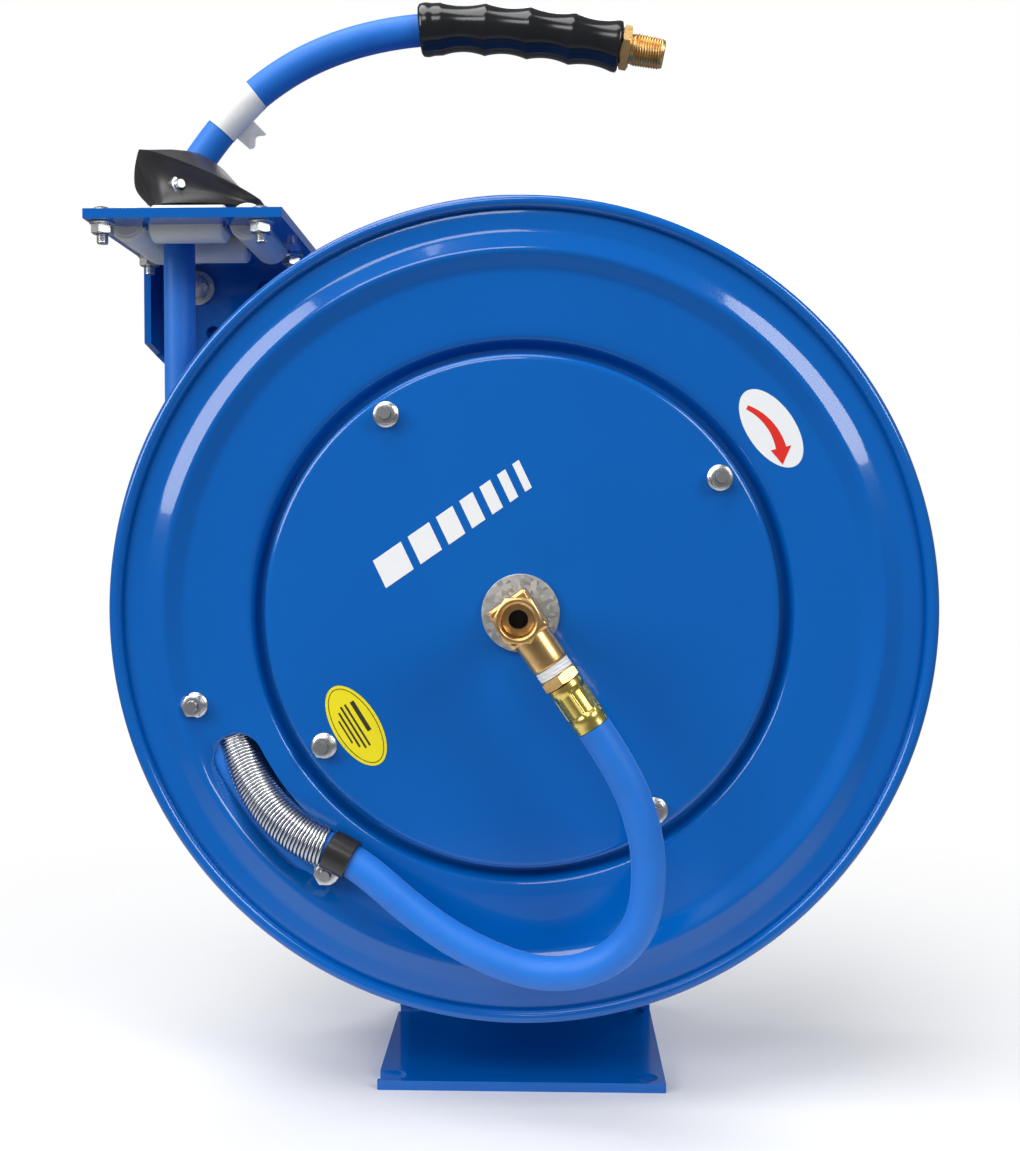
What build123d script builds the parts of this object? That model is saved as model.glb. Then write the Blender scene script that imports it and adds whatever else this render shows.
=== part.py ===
from build123d import *
import math
import os

os.makedirs("parts", exist_ok=True)

# Spring-retractable air hose reel on a single pedestal.
# Millimetres. X to the right, Y away from the hose inlet side, Z up.
# Origin: centre of the base plate's bottom face. The drum axle runs along Y.

# ---------------------------------------------------------------- driving sizes
axle_height = 250.0
axle_r = 10.0
running_gap = 0.05
face_gap = 0.3

base_width = 150.0
base_depth = 127.0
plate_t = 5.0
base_hole_r = 5.4
base_hole_inset = 9.2
base_hole_front_inset = 7.7
base_hole_rear_inset = 23.5

drum_rear = 34.5
drum_width = 118.0
sheet = 2.0
rim_r = 207.5
roll_r = 3.25
hub_r = 147.0
slot_mid_r = 162.0
slot_width = 24.0

cover_r = 129.5
cover_sheet = 1.5
cover_setback = 2.0
cover_bolt_inset = 10.0
cover_bolt_angle = 34.2
m6_r = 3.0
m8_r = 4.0
bolt_gap = 0.4
arm_bolt_r = 34.0

case_inset = 21.5
case_depth = 54.0
spring_band = 46.0
spring_t = 1.2
spring_turns = 9

hose_r = 8.25
hose_bore_r = 4.75
wrap_pitch = 17.2
layer_step = 15.6

swivel_reach = 63.0
outlet_angle = -55.5
outlet_depth = 42.0
port_r = 7.43
port_length = 14.0

roller_r = 9.75
side_roller_length = 62.0
end_roller_length = 40.0
side_roller_offset = 31.5
end_roller_offset = 24.5
guide_x = -174.0
guide_z = 201.5
guide_sheet = 2.5
pin_r = 2.0

pull_travel = 90.0

# ---------------------------------------------------------------- worked out
drum_front = drum_rear - drum_width
drum_mid = drum_front + drum_width / 2
flange_plateau = 5.5
flange_floor = 14.0
inner_front = drum_front + flange_plateau + sheet
inner_rear = drum_rear - flange_plateau - sheet
cover_bolt_r = cover_r - cover_bolt_inset
case_r = cover_r - case_inset
pack_r = hub_r + hose_r
lead_x = -(pack_r + 2 * layer_step)
axle_line = Axis((0, 0, axle_height), (0, 1, 0))
pedestal_front = base_depth / 2 - plate_t
pedestal_back = base_depth / 2


def facing(y, angle=0):
    """Upright plane at depth y, centred on the axle, facing the inlet side."""
    tilt = math.radians(angle)
    return Plane((0, y, axle_height), x_dir=(math.cos(tilt), 0, math.sin(tilt)), z_dir=(0, -1, 0))


def half_section():
    """Plane through the axle: local x is the radius, local y is the depth."""
    return Plane.XY.offset(axle_height)


def around(r, angle):
    """Point at a radius and an angle about the axle, seen from the inlet side."""
    return (r * math.cos(math.radians(angle)), r * math.sin(math.radians(angle)))


def save(part, name):
    part.label = name
    export_step(part, f"parts/{name}.step")
    print(f"{name:18s} {part.volume:12.0f} mm3")


def ring(r_in, r_out, y0, y1):
    """Plain ring about the axle between two depths."""
    with BuildPart() as turned:
        with BuildSketch(half_section()):
            with BuildLine():
                Polyline((r_in, y0), (r_out, y0), (r_out, y1), (r_in, y1), close=True)
            make_face()
        revolve(axis=axle_line)
    return turned.part


def hex_stack(place, levels, bore=0.0):
    """Fastener built upward on a plane; each level is (kind, radius, height)."""
    with BuildPart() as stack:
        height = 0.0
        for kind, radius, length in levels:
            with BuildSketch(place.offset(height)):
                if kind == "hex":
                    RegularPolygon(radius, 6, major_radius=False)
                else:
                    Circle(radius)
            extrude(amount=length)
            height += length
        if bore:
            with BuildSketch(place):
                Circle(bore)
            extrude(amount=height, mode=Mode.SUBTRACT)
    return stack.part


def at(x, y, z, toward):
    """Plane at a point in the row frame whose normal is the given direction."""
    return Plane((x, y, z), z_dir=toward)


# ---------------------------------------------------------------- base and pedestal
pawl_pivot = (48.0, -46.0)
pawl_pin_r = 4.0
pedestal_half_top = 58.0
upright_z = 60.0
lip_depth = 15.0
lip_lean = 9.4
pedestal_top = axle_height + 50.0
shoulder_z = axle_height - 75.0
hole_x = base_width / 2 - base_hole_inset
front_hole_y = -base_depth / 2 + base_hole_front_inset
rear_hole_y = base_depth / 2 - base_hole_rear_inset

with BuildPart() as base_pedestal:
    with BuildSketch(Plane.XY):
        Rectangle(base_width, base_depth)
        with Locations((hole_x, front_hole_y), (hole_x, rear_hole_y)):
            Circle(base_hole_r, mode=Mode.SUBTRACT)
        with Locations((-hole_x, front_hole_y), (-hole_x, rear_hole_y)):
            Circle(base_hole_r, mode=Mode.SUBTRACT)
        with Locations((-base_width / 2, front_hole_y), (-base_width / 2, rear_hole_y)):
            Rectangle(2 * base_hole_inset, 2 * base_hole_r, mode=Mode.SUBTRACT)
    extrude(amount=plate_t)
    with BuildSketch(facing(pedestal_back)) as back_plate:
        with BuildLine():
            Polyline(
                (-base_width / 2, plate_t - axle_height),
                (base_width / 2, plate_t - axle_height),
                (base_width / 2, upright_z - axle_height),
                (pedestal_half_top, -30),
                (pedestal_half_top, pedestal_top - axle_height),
                (-pedestal_half_top, pedestal_top - axle_height),
                (-pedestal_half_top, -30),
                (-base_width / 2, upright_z - axle_height),
                close=True,
            )
        make_face()
    extrude(amount=plate_t)
    fillet(base_pedestal.edges().filter_by(Axis.Y).group_by(Axis.Z)[-1], radius=30)
    for side in (-1, 1):
        with BuildSketch(facing(pedestal_front)):
            with BuildLine():
                Polyline(
                    (side * base_width / 2, plate_t - axle_height),
                    (side * (base_width / 2 - plate_t), plate_t - axle_height),
                    (side * (base_width / 2 - plate_t), upright_z - axle_height),
                    (side * (base_width / 2 - plate_t - lip_lean), shoulder_z - axle_height),
                    (side * (base_width / 2 - lip_lean), shoulder_z - axle_height),
                    (side * base_width / 2, upright_z - axle_height),
                    close=True,
                )
            make_face()
        extrude(amount=lip_depth)
    with BuildSketch(facing(pedestal_back)):
        Circle(axle_r)
        with PolarLocations(arm_bolt_r, 2, start_angle=110, angular_range=100):
            Circle(m8_r + bolt_gap)
        with Locations(pawl_pivot):
            Circle(pawl_pin_r)
    extrude(amount=plate_t, mode=Mode.SUBTRACT)
save(base_pedestal.part, "base_pedestal")

# ---------------------------------------------------------------- axle
arm_front = pedestal_front - plate_t
tube_rear = arm_front - 12.5
ratchet_t = 5.0
axle_front = drum_front + flange_floor + 6.0
axle_back = pedestal_back + 19.0
axle_washer_t = 2.5
arbor_r = 16.0

with BuildPart() as axle:
    with BuildSketch(facing(axle_back)):
        Circle(axle_r)
    extrude(amount=axle_back - axle_front)
    chamfer(axle.faces().sort_by(Axis.Y)[-1].edges(), length=1.2)
save(axle.part, "axle")

save(ring(axle_r, 15.0, tube_rear + face_gap, arm_front), "axle_spacer")
save(ring(axle_r, 18.0, pedestal_back, pedestal_back + axle_washer_t), "axle_washer")
nut_seat = at(0, pedestal_back + axle_washer_t, axle_height, (0, 1, 0))
save(hex_stack(nut_seat, [("hex", 15, 14)], axle_r), "axle_nut")

# ---------------------------------------------------------------- drum
front_profile = [
    (cover_r - 19.5, flange_floor),
    (cover_r + 4.5, flange_floor),
    (cover_r + 7.5, flange_plateau),
    (171.0, flange_plateau),
    (180.0, 0.6),
    (190.0, 4.0),
    (198.5, 4.0),
    (203.2, 4.8),
]


def flange(front, direction):
    """Pressed flange sheet with a rolled rim, from its outer plane inwards."""
    outer = [(r, front + direction * depth) for r, depth in front_profile]
    inner = [(r, front + direction * (depth + sheet)) for r, depth in front_profile]
    with BuildPart() as pressed:
        with BuildSketch(half_section()):
            with BuildLine():
                FilletPolyline(*outer, radius=2.0)
                Line(outer[-1], inner[-1])
                FilletPolyline(*inner, radius=2.0)
                Line(outer[0], inner[0])
            make_face()
            with Locations((rim_r - roll_r, front + direction * roll_r)):
                Circle(roll_r)
        revolve(axis=axle_line)
    return pressed.part


slot_path = CenterArc((0, 0), slot_mid_r, 209, 17)
clamp_bolt = around(164.0, 233.3)
inner_clip_bolt = around(171.7, 196.0)


tube_r = 16.0
tube_in = 13.0
with BuildPart() as rear_flange:
    add(flange(drum_rear, -1))
    add(ring(tube_r, cover_r - 19.5, drum_rear - flange_floor - sheet, drum_rear - flange_floor))
save(rear_flange.part, "rear_flange")

save(ring(hub_r - sheet, hub_r, inner_front, inner_rear), "drum_hub")

case_front = drum_front + flange_floor + sheet
case_floor = case_front + case_depth
with BuildPart() as spring_case:
    with BuildSketch(half_section()):
        with BuildLine():
            Polyline(
                (cover_r - 3, case_front),
                (cover_r - 3, case_front + sheet),
                (case_r, case_front + sheet),
                (case_r, case_floor + sheet),
                (tube_r, case_floor + sheet),
                (tube_r, case_floor),
                (case_r - sheet, case_floor),
                (case_r - sheet, case_front),
                close=True,
            )
        make_face()
    revolve(axis=axle_line)
    with BuildSketch(facing(case_front + sheet)):
        with PolarLocations(cover_bolt_r, 4, start_angle=cover_bolt_angle):
            Circle(m6_r)
    extrude(amount=sheet, mode=Mode.SUBTRACT)
save(spring_case.part, "spring_case")

cover_face = drum_front + cover_setback
with BuildPart() as case_cover:
    with BuildSketch(half_section()):
        with BuildLine():
            FilletPolyline(
                (m8_r + 2, cover_face),
                (cover_r, cover_face),
                (cover_r, drum_front + flange_floor),
                radius=4.0,
            )
            Line((cover_r, drum_front + flange_floor), (cover_r - cover_sheet, drum_front + flange_floor))
            FilletPolyline(
                (cover_r - cover_sheet, drum_front + flange_floor),
                (cover_r - cover_sheet, cover_face + cover_sheet),
                (m8_r + 2, cover_face + cover_sheet),
                radius=4.0 - cover_sheet,
            )
            Line((m8_r + 2, cover_face + cover_sheet), (m8_r + 2, cover_face))
        make_face()
    revolve(axis=axle_line)
    with BuildSketch(facing(cover_face + cover_sheet)):
        with PolarLocations(cover_bolt_r, 4, start_angle=cover_bolt_angle):
            Circle(m6_r)
    extrude(amount=cover_sheet, mode=Mode.SUBTRACT)
save(case_cover.part, "case_cover")

stud_depth = flange_floor - cover_setback - cover_sheet
with BuildPart() as cover_studs:
    with BuildSketch(facing(case_front + sheet + 6)):
        with PolarLocations(cover_bolt_r, 4, start_angle=cover_bolt_angle):
            RegularPolygon(5, 6, major_radius=False)
    extrude(amount=6)
    with BuildSketch(facing(case_front + sheet)):
        with PolarLocations(cover_bolt_r, 4, start_angle=cover_bolt_angle):
            Circle(m6_r)
    extrude(amount=2 * sheet)
    with BuildSketch(facing(drum_front + flange_floor)):
        with PolarLocations(cover_bolt_r, 4, start_angle=cover_bolt_angle):
            Circle(5)
    extrude(amount=stud_depth)
    with BuildSketch(facing(cover_face + cover_sheet)):
        with PolarLocations(cover_bolt_r, 4, start_angle=cover_bolt_angle):
            Circle(m6_r)
    extrude(amount=cover_sheet + 8)
save(cover_studs.part, "cover_studs")

flange_nut = [("round", 6.6, 1.4), ("hex", 5.0, 4.8)]
cover_nut_parts = []
for index in range(4):
    nut_x, nut_z = around(cover_bolt_r, cover_bolt_angle + 90 * index)
    place = at(nut_x, cover_face, axle_height + nut_z, (0, -1, 0))
    cover_nut_parts.append(hex_stack(place, flange_nut, m6_r))
save(Compound(children=cover_nut_parts), "cover_nuts")

save(ring(tube_in, tube_r, case_floor, tube_rear), "bearing_tube")
bush_length = 14.0
save(ring(axle_r + running_gap, tube_in, case_floor + 2, case_floor + 2 + bush_length), "front_bush")
save(ring(axle_r + running_gap, tube_in, tube_rear - bush_length, tube_rear), "rear_bush")
save(ring(axle_r, arbor_r, case_front + 3, case_front + 3 + spring_band), "spring_arbor")


def spiral_points(extra):
    """Spiral of the power spring: tight turns outside, open turns by the arbor."""
    points = []
    for step in range(spring_turns * 12 + 1):
        share = step / (spring_turns * 12)
        radius = arbor_r + 3 + (case_r - sheet - 3 - arbor_r - 5) * share ** 0.8
        points.append(around(radius + extra, 360 * spring_turns * share))
    return points


with BuildPart() as main_spring:
    with BuildSketch(facing(case_front + 3 + spring_band)):
        with BuildLine():
            inner_edge = Spline(*spiral_points(0))
            outer_edge = Spline(*spiral_points(spring_t))
            Line(inner_edge @ 0, outer_edge @ 0)
            Line(inner_edge @ 1, outer_edge @ 1)
        make_face()
    extrude(amount=spring_band)
save(main_spring.part, "main_spring")

# ---------------------------------------------------------------- ratchet and pawl
ratchet_r = 48.0
tooth_depth = 6.0
teeth = 8
with BuildPart() as ratchet_wheel:
    with BuildSketch(facing(tube_rear)):
        with BuildLine():
            corners = []
            for index in range(teeth):
                corners.append(around(ratchet_r, 360 / teeth * index))
                corners.append(around(ratchet_r, 360 / teeth * (index + 0.55)))
                corners.append(around(ratchet_r - tooth_depth, 360 / teeth * (index + 0.56)))
            Polyline(*corners, close=True)
        make_face()
        Circle(tube_r, mode=Mode.SUBTRACT)
    extrude(amount=ratchet_t)
save(ratchet_wheel.part, "ratchet_wheel")

pawl_t = 5.0
pawl_mid = tube_rear - ratchet_t / 2
tip_x = ratchet_r + 0.9
with BuildPart() as pawl:
    with BuildSketch(facing(pawl_mid + pawl_t / 2)):
        with BuildLine():
            Polyline(
                (tip_x - 6, -40),
                (tip_x, -2),
                (tip_x + 3, -2),
                (tip_x + 7, -12),
                (tip_x + 7, -44),
                close=True,
            )
        make_face()
        with Locations(pawl_pivot):
            Circle(8)
            Circle(pawl_pin_r + running_gap, mode=Mode.SUBTRACT)
    extrude(amount=pawl_t)
save(pawl.part, "pawl")

pivot_x, pivot_z = pawl_pivot
pawl_front = pawl_mid - pawl_t / 2
pawl_back = pawl_mid + pawl_t / 2
with BuildPart() as pawl_pin:
    with BuildSketch(at(pivot_x, pedestal_back + 5, axle_height + pivot_z, (0, -1, 0))):
        Circle(pawl_pin_r)
    extrude(amount=pedestal_back + 5 - pawl_front + 2)
    with BuildSketch(at(pivot_x, pedestal_front, axle_height + pivot_z, (0, -1, 0))):
        Circle(6.5)
    extrude(amount=pedestal_front - pawl_back - face_gap)
    with BuildSketch(at(pivot_x, pawl_front - face_gap, axle_height + pivot_z, (0, -1, 0))):
        Circle(6.5)
    extrude(amount=2)
save(pawl_pin.part, "pawl_pin")

with BuildPart() as pawl_spring:
    with BuildSketch(at(pivot_x, pedestal_front - 2, axle_height + pivot_z, (0, -1, 0))):
        Circle(9)
        Circle(6.8, mode=Mode.SUBTRACT)
    extrude(amount=9)
save(pawl_spring.part, "pawl_spring")

# ---------------------------------------------------------------- guide arm and bracket
guide_left = -222.0
guide_right = -120.5
guide_front = drum_front + 10.0
bracket_back = arm_front
bracket_bottom = 135.0
bracket_bolts_at = [(-196.0, 187.0), (-150.0, 158.0)]
spare_holes_at = [(-156.0, 187.0), (-187.0, 160.0)]
lower_plate = guide_z - guide_sheet
guide_mid_y = drum_mid
guide_bolt_x = 41.0
guide_bolt_y = 39.5
window_x = 2 * side_roller_offset + 2 * roller_r + 2
window_y = side_roller_length + 2
end_window_x = 2 * side_roller_offset - 2 * roller_r - 0.8
end_window_y = 2 * end_roller_offset + 2 * roller_r + 2
side_pin_half = side_roller_length / 2 + 7.5
end_pin_half = end_roller_length / 2 + 1.4

with BuildPart() as guide_arm:
    with BuildSketch(facing(pedestal_front)):
        Circle(42)
        with BuildLine():
            Polyline((14, 39), (-122, 197), (-217, 197), (-217, 152), (-40, -12), close=True)
        make_face()
        Circle(axle_r, mode=Mode.SUBTRACT)
        with PolarLocations(arm_bolt_r, 2, start_angle=110, angular_range=100):
            Circle(m8_r + bolt_gap, mode=Mode.SUBTRACT)
        with Locations(*bracket_bolts_at):
            Circle(m8_r + bolt_gap, mode=Mode.SUBTRACT)
    extrude(amount=plate_t)
save(guide_arm.part, "guide_arm")

with BuildPart() as guide_bracket:
    with BuildSketch(facing(bracket_back)):
        with BuildLine():
            Polyline(
                (guide_left, lower_plate),
                (guide_right, lower_plate),
                (guide_right, bracket_bottom),
                (guide_left + 12, bracket_bottom),
                (guide_left, bracket_bottom + 12),
                close=True,
            )
        make_face()
        with Locations(*bracket_bolts_at, *spare_holes_at):
            Circle(m8_r + bolt_gap, mode=Mode.SUBTRACT)
    extrude(amount=plate_t)
    with BuildSketch(Plane.YZ.offset(guide_left)):
        with BuildLine():
            Polyline(
                (bracket_back - 27, axle_height + lower_plate),
                (bracket_back - plate_t, axle_height + lower_plate),
                (bracket_back - plate_t, axle_height + bracket_bottom + 12),
                (bracket_back - 27, axle_height + bracket_bottom + 16),
                close=True,
            )
        make_face()
    extrude(amount=4)
    with BuildSketch(Plane.XY.offset(axle_height + lower_plate)):
        with Locations(((guide_left + guide_right) / 2, (guide_front + bracket_back) / 2)):
            Rectangle(guide_right - guide_left, bracket_back - guide_front)
        with Locations((guide_x, guide_mid_y)):
            Rectangle(window_x, window_y, mode=Mode.SUBTRACT)
            Rectangle(end_window_x, end_window_y, mode=Mode.SUBTRACT)
            with GridLocations(2 * guide_bolt_x, 2 * guide_bolt_y, 2, 2):
                Circle(m6_r + bolt_gap, mode=Mode.SUBTRACT)
    extrude(amount=guide_sheet)
    for end in (-1, 1):
        for side in (-1, 1):
            tab_x = guide_x + side * (end_roller_length / 2 + 0.8)
            tab_y = guide_mid_y + end * (end_window_y / 2 - 8)
            with BuildSketch(Plane.XY.offset(axle_height + guide_z - 4)):
                with Locations((tab_x, tab_y)):
                    Rectangle(1.2, 16.4)
            extrude(amount=8)
    for end in (-1, 1):
        roller_y = guide_mid_y + end * end_roller_offset
        with BuildSketch(at(guide_x - 30, roller_y, axle_height + guide_z, (1, 0, 0))):
            Circle(pin_r)
        extrude(amount=60, mode=Mode.SUBTRACT)
    for side in (-1, 1):
        roller_x = guide_x + side * side_roller_offset
        with BuildSketch(at(roller_x, guide_mid_y - side_pin_half, axle_height + guide_z, (0, 1, 0))):
            Circle(pin_r)
        extrude(amount=2 * side_pin_half, mode=Mode.SUBTRACT)
save(guide_bracket.part, "guide_bracket")

with BuildPart() as guide_plate:
    with BuildSketch(Plane.XY.offset(axle_height + guide_z)):
        with Locations(((guide_left + guide_right) / 2, (guide_front + bracket_back) / 2)):
            Rectangle(guide_right - guide_left, bracket_back - guide_front)
        with Locations((guide_x, guide_mid_y)):
            Rectangle(window_x, window_y, mode=Mode.SUBTRACT)
            Rectangle(end_window_x + 1, end_window_y + 1, mode=Mode.SUBTRACT)
            with GridLocations(2 * guide_bolt_x, 2 * guide_bolt_y, 2, 2):
                Circle(m6_r + bolt_gap, mode=Mode.SUBTRACT)
    extrude(amount=guide_sheet)
    for side in (-1, 1):
        roller_x = guide_x + side * side_roller_offset
        with BuildSketch(at(roller_x, guide_mid_y - side_pin_half, axle_height + guide_z, (0, 1, 0))):
            Circle(pin_r)
        extrude(amount=2 * side_pin_half, mode=Mode.SUBTRACT)
save(guide_plate.part, "guide_plate")


def roller(centre, direction, length):
    """Nylon roller with eased ends and a running bore for its pin."""
    dx, dy = direction
    start = (centre[0] - dx * length / 2, centre[1] - dy * length / 2, axle_height + guide_z)
    with BuildPart() as turned:
        with BuildSketch(at(*start, (dx, dy, 0))):
            Circle(roller_r)
        extrude(amount=length)
        chamfer(turned.edges().filter_by(GeomType.CIRCLE), length=1.2)
        with BuildSketch(at(*start, (dx, dy, 0))):
            Circle(pin_r + running_gap)
        extrude(amount=length, mode=Mode.SUBTRACT)
    return turned.part


roller_places = {
    "roller_left": ((guide_x - side_roller_offset, guide_mid_y), (0, 1), side_roller_length),
    "roller_right": ((guide_x + side_roller_offset, guide_mid_y), (0, 1), side_roller_length),
    "roller_front": ((guide_x, guide_mid_y - end_roller_offset), (1, 0), end_roller_length),
    "roller_back": ((guide_x, guide_mid_y + end_roller_offset), (1, 0), end_roller_length),
}
pins = []
for name, (centre, direction, length) in roller_places.items():
    save(roller(centre, direction, length), name)
    half_pin = side_pin_half if direction == (0, 1) else end_pin_half
    dx, dy = direction
    start = (centre[0] - dx * half_pin, centre[1] - dy * half_pin, axle_height + guide_z)
    pins.append(hex_stack(at(*start, (dx, dy, 0)), [("round", pin_r, 2 * half_pin)]))
save(Compound(children=pins), "roller_pins")

corner_bolts = []
corner_nuts = []
for side in (-1, 1):
    for end in (-1, 1):
        bolt_x = guide_x + side * guide_bolt_x
        bolt_y = guide_mid_y + end * guide_bolt_y
        plate_top = axle_height + guide_z + guide_sheet
        plate_bottom = axle_height + lower_plate
        shank = [("round", m6_r, 16.0), ("round", 6.2, 1.6), ("round", 4.6, 1.2)]
        corner_bolts.append(hex_stack(at(bolt_x, bolt_y, plate_top - 16, (0, 0, 1)), shank))
        corner_nuts.append(hex_stack(at(bolt_x, bolt_y, plate_bottom, (0, 0, -1)), flange_nut, m6_r))
save(Compound(children=corner_bolts), "guide_bolts")
save(Compound(children=corner_nuts), "guide_nuts")


def through_bolts(points, front, back):
    """M8 bolts with washers through a stack of plates, heads at the front, nuts behind."""
    solids = []
    for x, z in points:
        length = back - front + 9
        stack = [("round", m8_r, length), ("round", 10.2, 1.6), ("hex", 6.5, 5.3)]
        solids.append(hex_stack(at(x, front + length, axle_height + z, (0, -1, 0)), stack))
        stack = [("round", 8.4, 1.6), ("hex", 6.5, 6.4)]
        solids.append(hex_stack(at(x, back, axle_height + z, (0, 1, 0)), stack, m8_r))
    return Compound(children=solids)


save(through_bolts(bracket_bolts_at, bracket_back - plate_t, pedestal_front), "bracket_bolts")
save(through_bolts([around(arm_bolt_r, 110), around(arm_bolt_r, 160)], arm_front, pedestal_back), "arm_bolts")


# ---------------------------------------------------------------- hose
def corner_radii(points):
    """Radius of each bend: as large as the two runs beside it allow."""
    radii = []
    for before, here, after in zip(points, points[1:], points[2:]):
        run_in = Vector(*here) - Vector(*before)
        run_out = Vector(*after) - Vector(*here)
        turn = math.radians(run_in.get_angle(run_out))
        radii.append(0.45 * min(run_in.length, run_out.length) / math.tan(turn / 2))
    return radii


def tube(points, radii, r_out, r_in=0.0):
    """Round tube, or a rod with no bore, along straight runs joined by tangent arcs."""
    with BuildPart() as swept:
        with BuildLine() as route:
            FilletPolyline(*points, radius=radii)
        path = route.wires()[0]
        with BuildSketch(Plane(path @ 0, z_dir=path % 0)):
            Circle(r_out)
            if r_in:
                Circle(r_in, mode=Mode.SUBTRACT)
        sweep(path=path)
    return swept.part, path


def lifted(points):
    """Points given about the axle, as (x, y, height above the axle)."""
    return [(x, y, axle_height + z) for x, y, z in points]


outlet_x = math.cos(math.radians(outlet_angle))
outlet_z = math.sin(math.radians(outlet_angle))
outlet_y = drum_front - outlet_depth
neck_end = 26.3
tape_end = neck_end + 5.0
hex_end = tape_end + 5.5
ferrule_end = hex_end + 24.5
loop_route = lifted([(x, drum_front + depth, z) for x, depth, z in [
    (outlet_x * ferrule_end, -outlet_depth, outlet_z * ferrule_end),
    (outlet_x * (ferrule_end + 17), -outlet_depth, outlet_z * (ferrule_end + 17)),
    (55.5, -40.9, -86.5),
    (61.5, -38.5, -112.0),
    (60.5, -34.5, -138.0),
    (54.0, -31.3, -154.0),
    (40.5, -27.9, -167.0),
    (22.0, -24.5, -173.5),
    (0.0, -20.7, -172.8),
    (-30.0, -15.7, -161.5),
    (-54.5, -11.7, -145.5),
    (-73.5, -8.7, -129.5),
    (-89.5, -6.3, -119.6),
    (-105.0, -4.7, -114.2),
    (-120.5, -0.3, -104.5),
    (-133.0, 7.5, -92.0),
    (-142.5, 14.7, -76.0),
    (-147.6, 18.1, -62.0),
    (-151.8, 17.3, -43.5),
    (-153.8, 16.3, -24.4),
]])
loop_radii = corner_radii(loop_route)
print("loop bends", [round(r) for r in loop_radii])
loop_body, loop_path = tube(loop_route, loop_radii, hose_r, hose_bore_r)
outlet_direction = (outlet_x, 0, outlet_z)
crimped = 7.15


def along_outlet(distance):
    """Plane square to the swivel's outlet, at a distance from the axle line."""
    return at(outlet_x * distance, outlet_y, axle_height + outlet_z * distance, outlet_direction)


with BuildPart() as hose_loop:
    add(loop_body)
    with BuildSketch(along_outlet(hex_end + 1)):
        Circle(crimped)
        Circle(hose_bore_r, mode=Mode.SUBTRACT)
    extrude(amount=ferrule_end - hex_end - 1)
save(hose_loop.part, "hose_loop")
hose_section = math.pi * (hose_r ** 2 - hose_bore_r ** 2)
loop_fill = loop_body.volume / hose_section / loop_path.length
print("loop length", round(loop_path.length), "volume over section times length", round(loop_fill, 4))

guard_r = 10.75
guard_from = 12
guard_to = 17
guard_points = [tuple(Vector(*loop_route[guard_from]) * 0.46 + Vector(*loop_route[guard_from + 1]) * 0.54)]
guard_points += loop_route[guard_from + 1:guard_to + 1]
guard_points += [tuple(Vector(*loop_route[guard_to]) * 0.5 + Vector(*loop_route[guard_to + 1]) * 0.5)]
guard_bends = loop_radii[guard_from:guard_to]
save(tube(guard_points, guard_bends, guard_r, hose_r + 0.15)[0], "spring_guard")

# ---------------------------------------------------------------- front flange with its hose slot
guard_room = tube(guard_points, guard_bends, guard_r + 0.6)[0]
seat_r = 7.6
with BuildPart() as front_flange:
    add(flange(drum_front, 1))
    with BuildSketch(facing(inner_front)):
        with Locations(inner_clip_bolt):
            Circle(seat_r)
    extrude(amount=sheet)
    with BuildSketch(facing(inner_front - sheet)):
        with Locations(inner_clip_bolt):
            Circle(seat_r)
    extrude(amount=10, mode=Mode.SUBTRACT)
    with BuildSketch(facing(inner_front + 4)):
        with Locations(inner_clip_bolt):
            Circle(seat_r)
    extrude(amount=4, mode=Mode.SUBTRACT)
    with BuildSketch(facing(inner_front + 4)):
        SlotArc(slot_path, slot_width)
        with Locations(clamp_bolt, inner_clip_bolt):
            Circle(m6_r)
    extrude(amount=20, mode=Mode.SUBTRACT)
    add(guard_room, mode=Mode.SUBTRACT)
    with BuildSketch(facing(drum_front + flange_floor + sheet)):
        with PolarLocations(cover_bolt_r, 4, start_angle=cover_bolt_angle):
            Circle(m6_r)
    extrude(amount=sheet, mode=Mode.SUBTRACT)
save(front_flange.part, "front_flange")

pocket_from = 188.6
pocket_to = 238.0
pocket_mid = (pocket_from + pocket_to) / 2
pocket_depth = 26.0
with BuildPart() as hose_pack:
    with BuildSketch(half_section()):
        with BuildLine():
            Polyline(
                (hub_r, inner_front + face_gap),
                (pack_r + layer_step + hose_r, inner_front + face_gap),
                (pack_r + layer_step + hose_r, drum_mid - wrap_pitch),
                (pack_r + 2 * layer_step + hose_r, drum_mid - wrap_pitch),
                (pack_r + 2 * layer_step + hose_r, drum_mid + wrap_pitch),
                (pack_r + layer_step + hose_r, drum_mid + wrap_pitch),
                (pack_r + layer_step + hose_r, inner_rear - face_gap),
                (hub_r, inner_rear - face_gap),
                close=True,
            )
        make_face()
    revolve(axis=axle_line)
    with BuildSketch(facing(inner_front + pocket_depth)):
        with BuildLine():
            corners = [around(2 * rim_r, angle) for angle in (pocket_from, pocket_mid, pocket_to)]
            Polyline((0, 0), *corners, close=True)
        make_face()
    extrude(amount=pocket_depth + 5, mode=Mode.SUBTRACT)
save(hose_pack.part, "hose_pack")

lead_top = guide_z + roller_r + 0.6
lead_bottom = 82.0
with BuildPart() as hose_lead:
    with BuildSketch(at(lead_x, drum_mid, axle_height + lead_bottom, (0, 0, 1))):
        Circle(hose_r)
        Circle(hose_bore_r, mode=Mode.SUBTRACT)
    extrude(amount=lead_top - lead_bottom - 0.2)
save(hose_lead.part, "hose_lead")

core_r = hose_bore_r - 0.35
with BuildPart() as hose_core:
    with BuildSketch(at(lead_x, drum_mid, axle_height + lead_top - pull_travel - 12, (0, 0, 1))):
        Circle(core_r)
    extrude(amount=pull_travel + 12 + 3)
save(hose_core.part, "hose_core")

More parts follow.
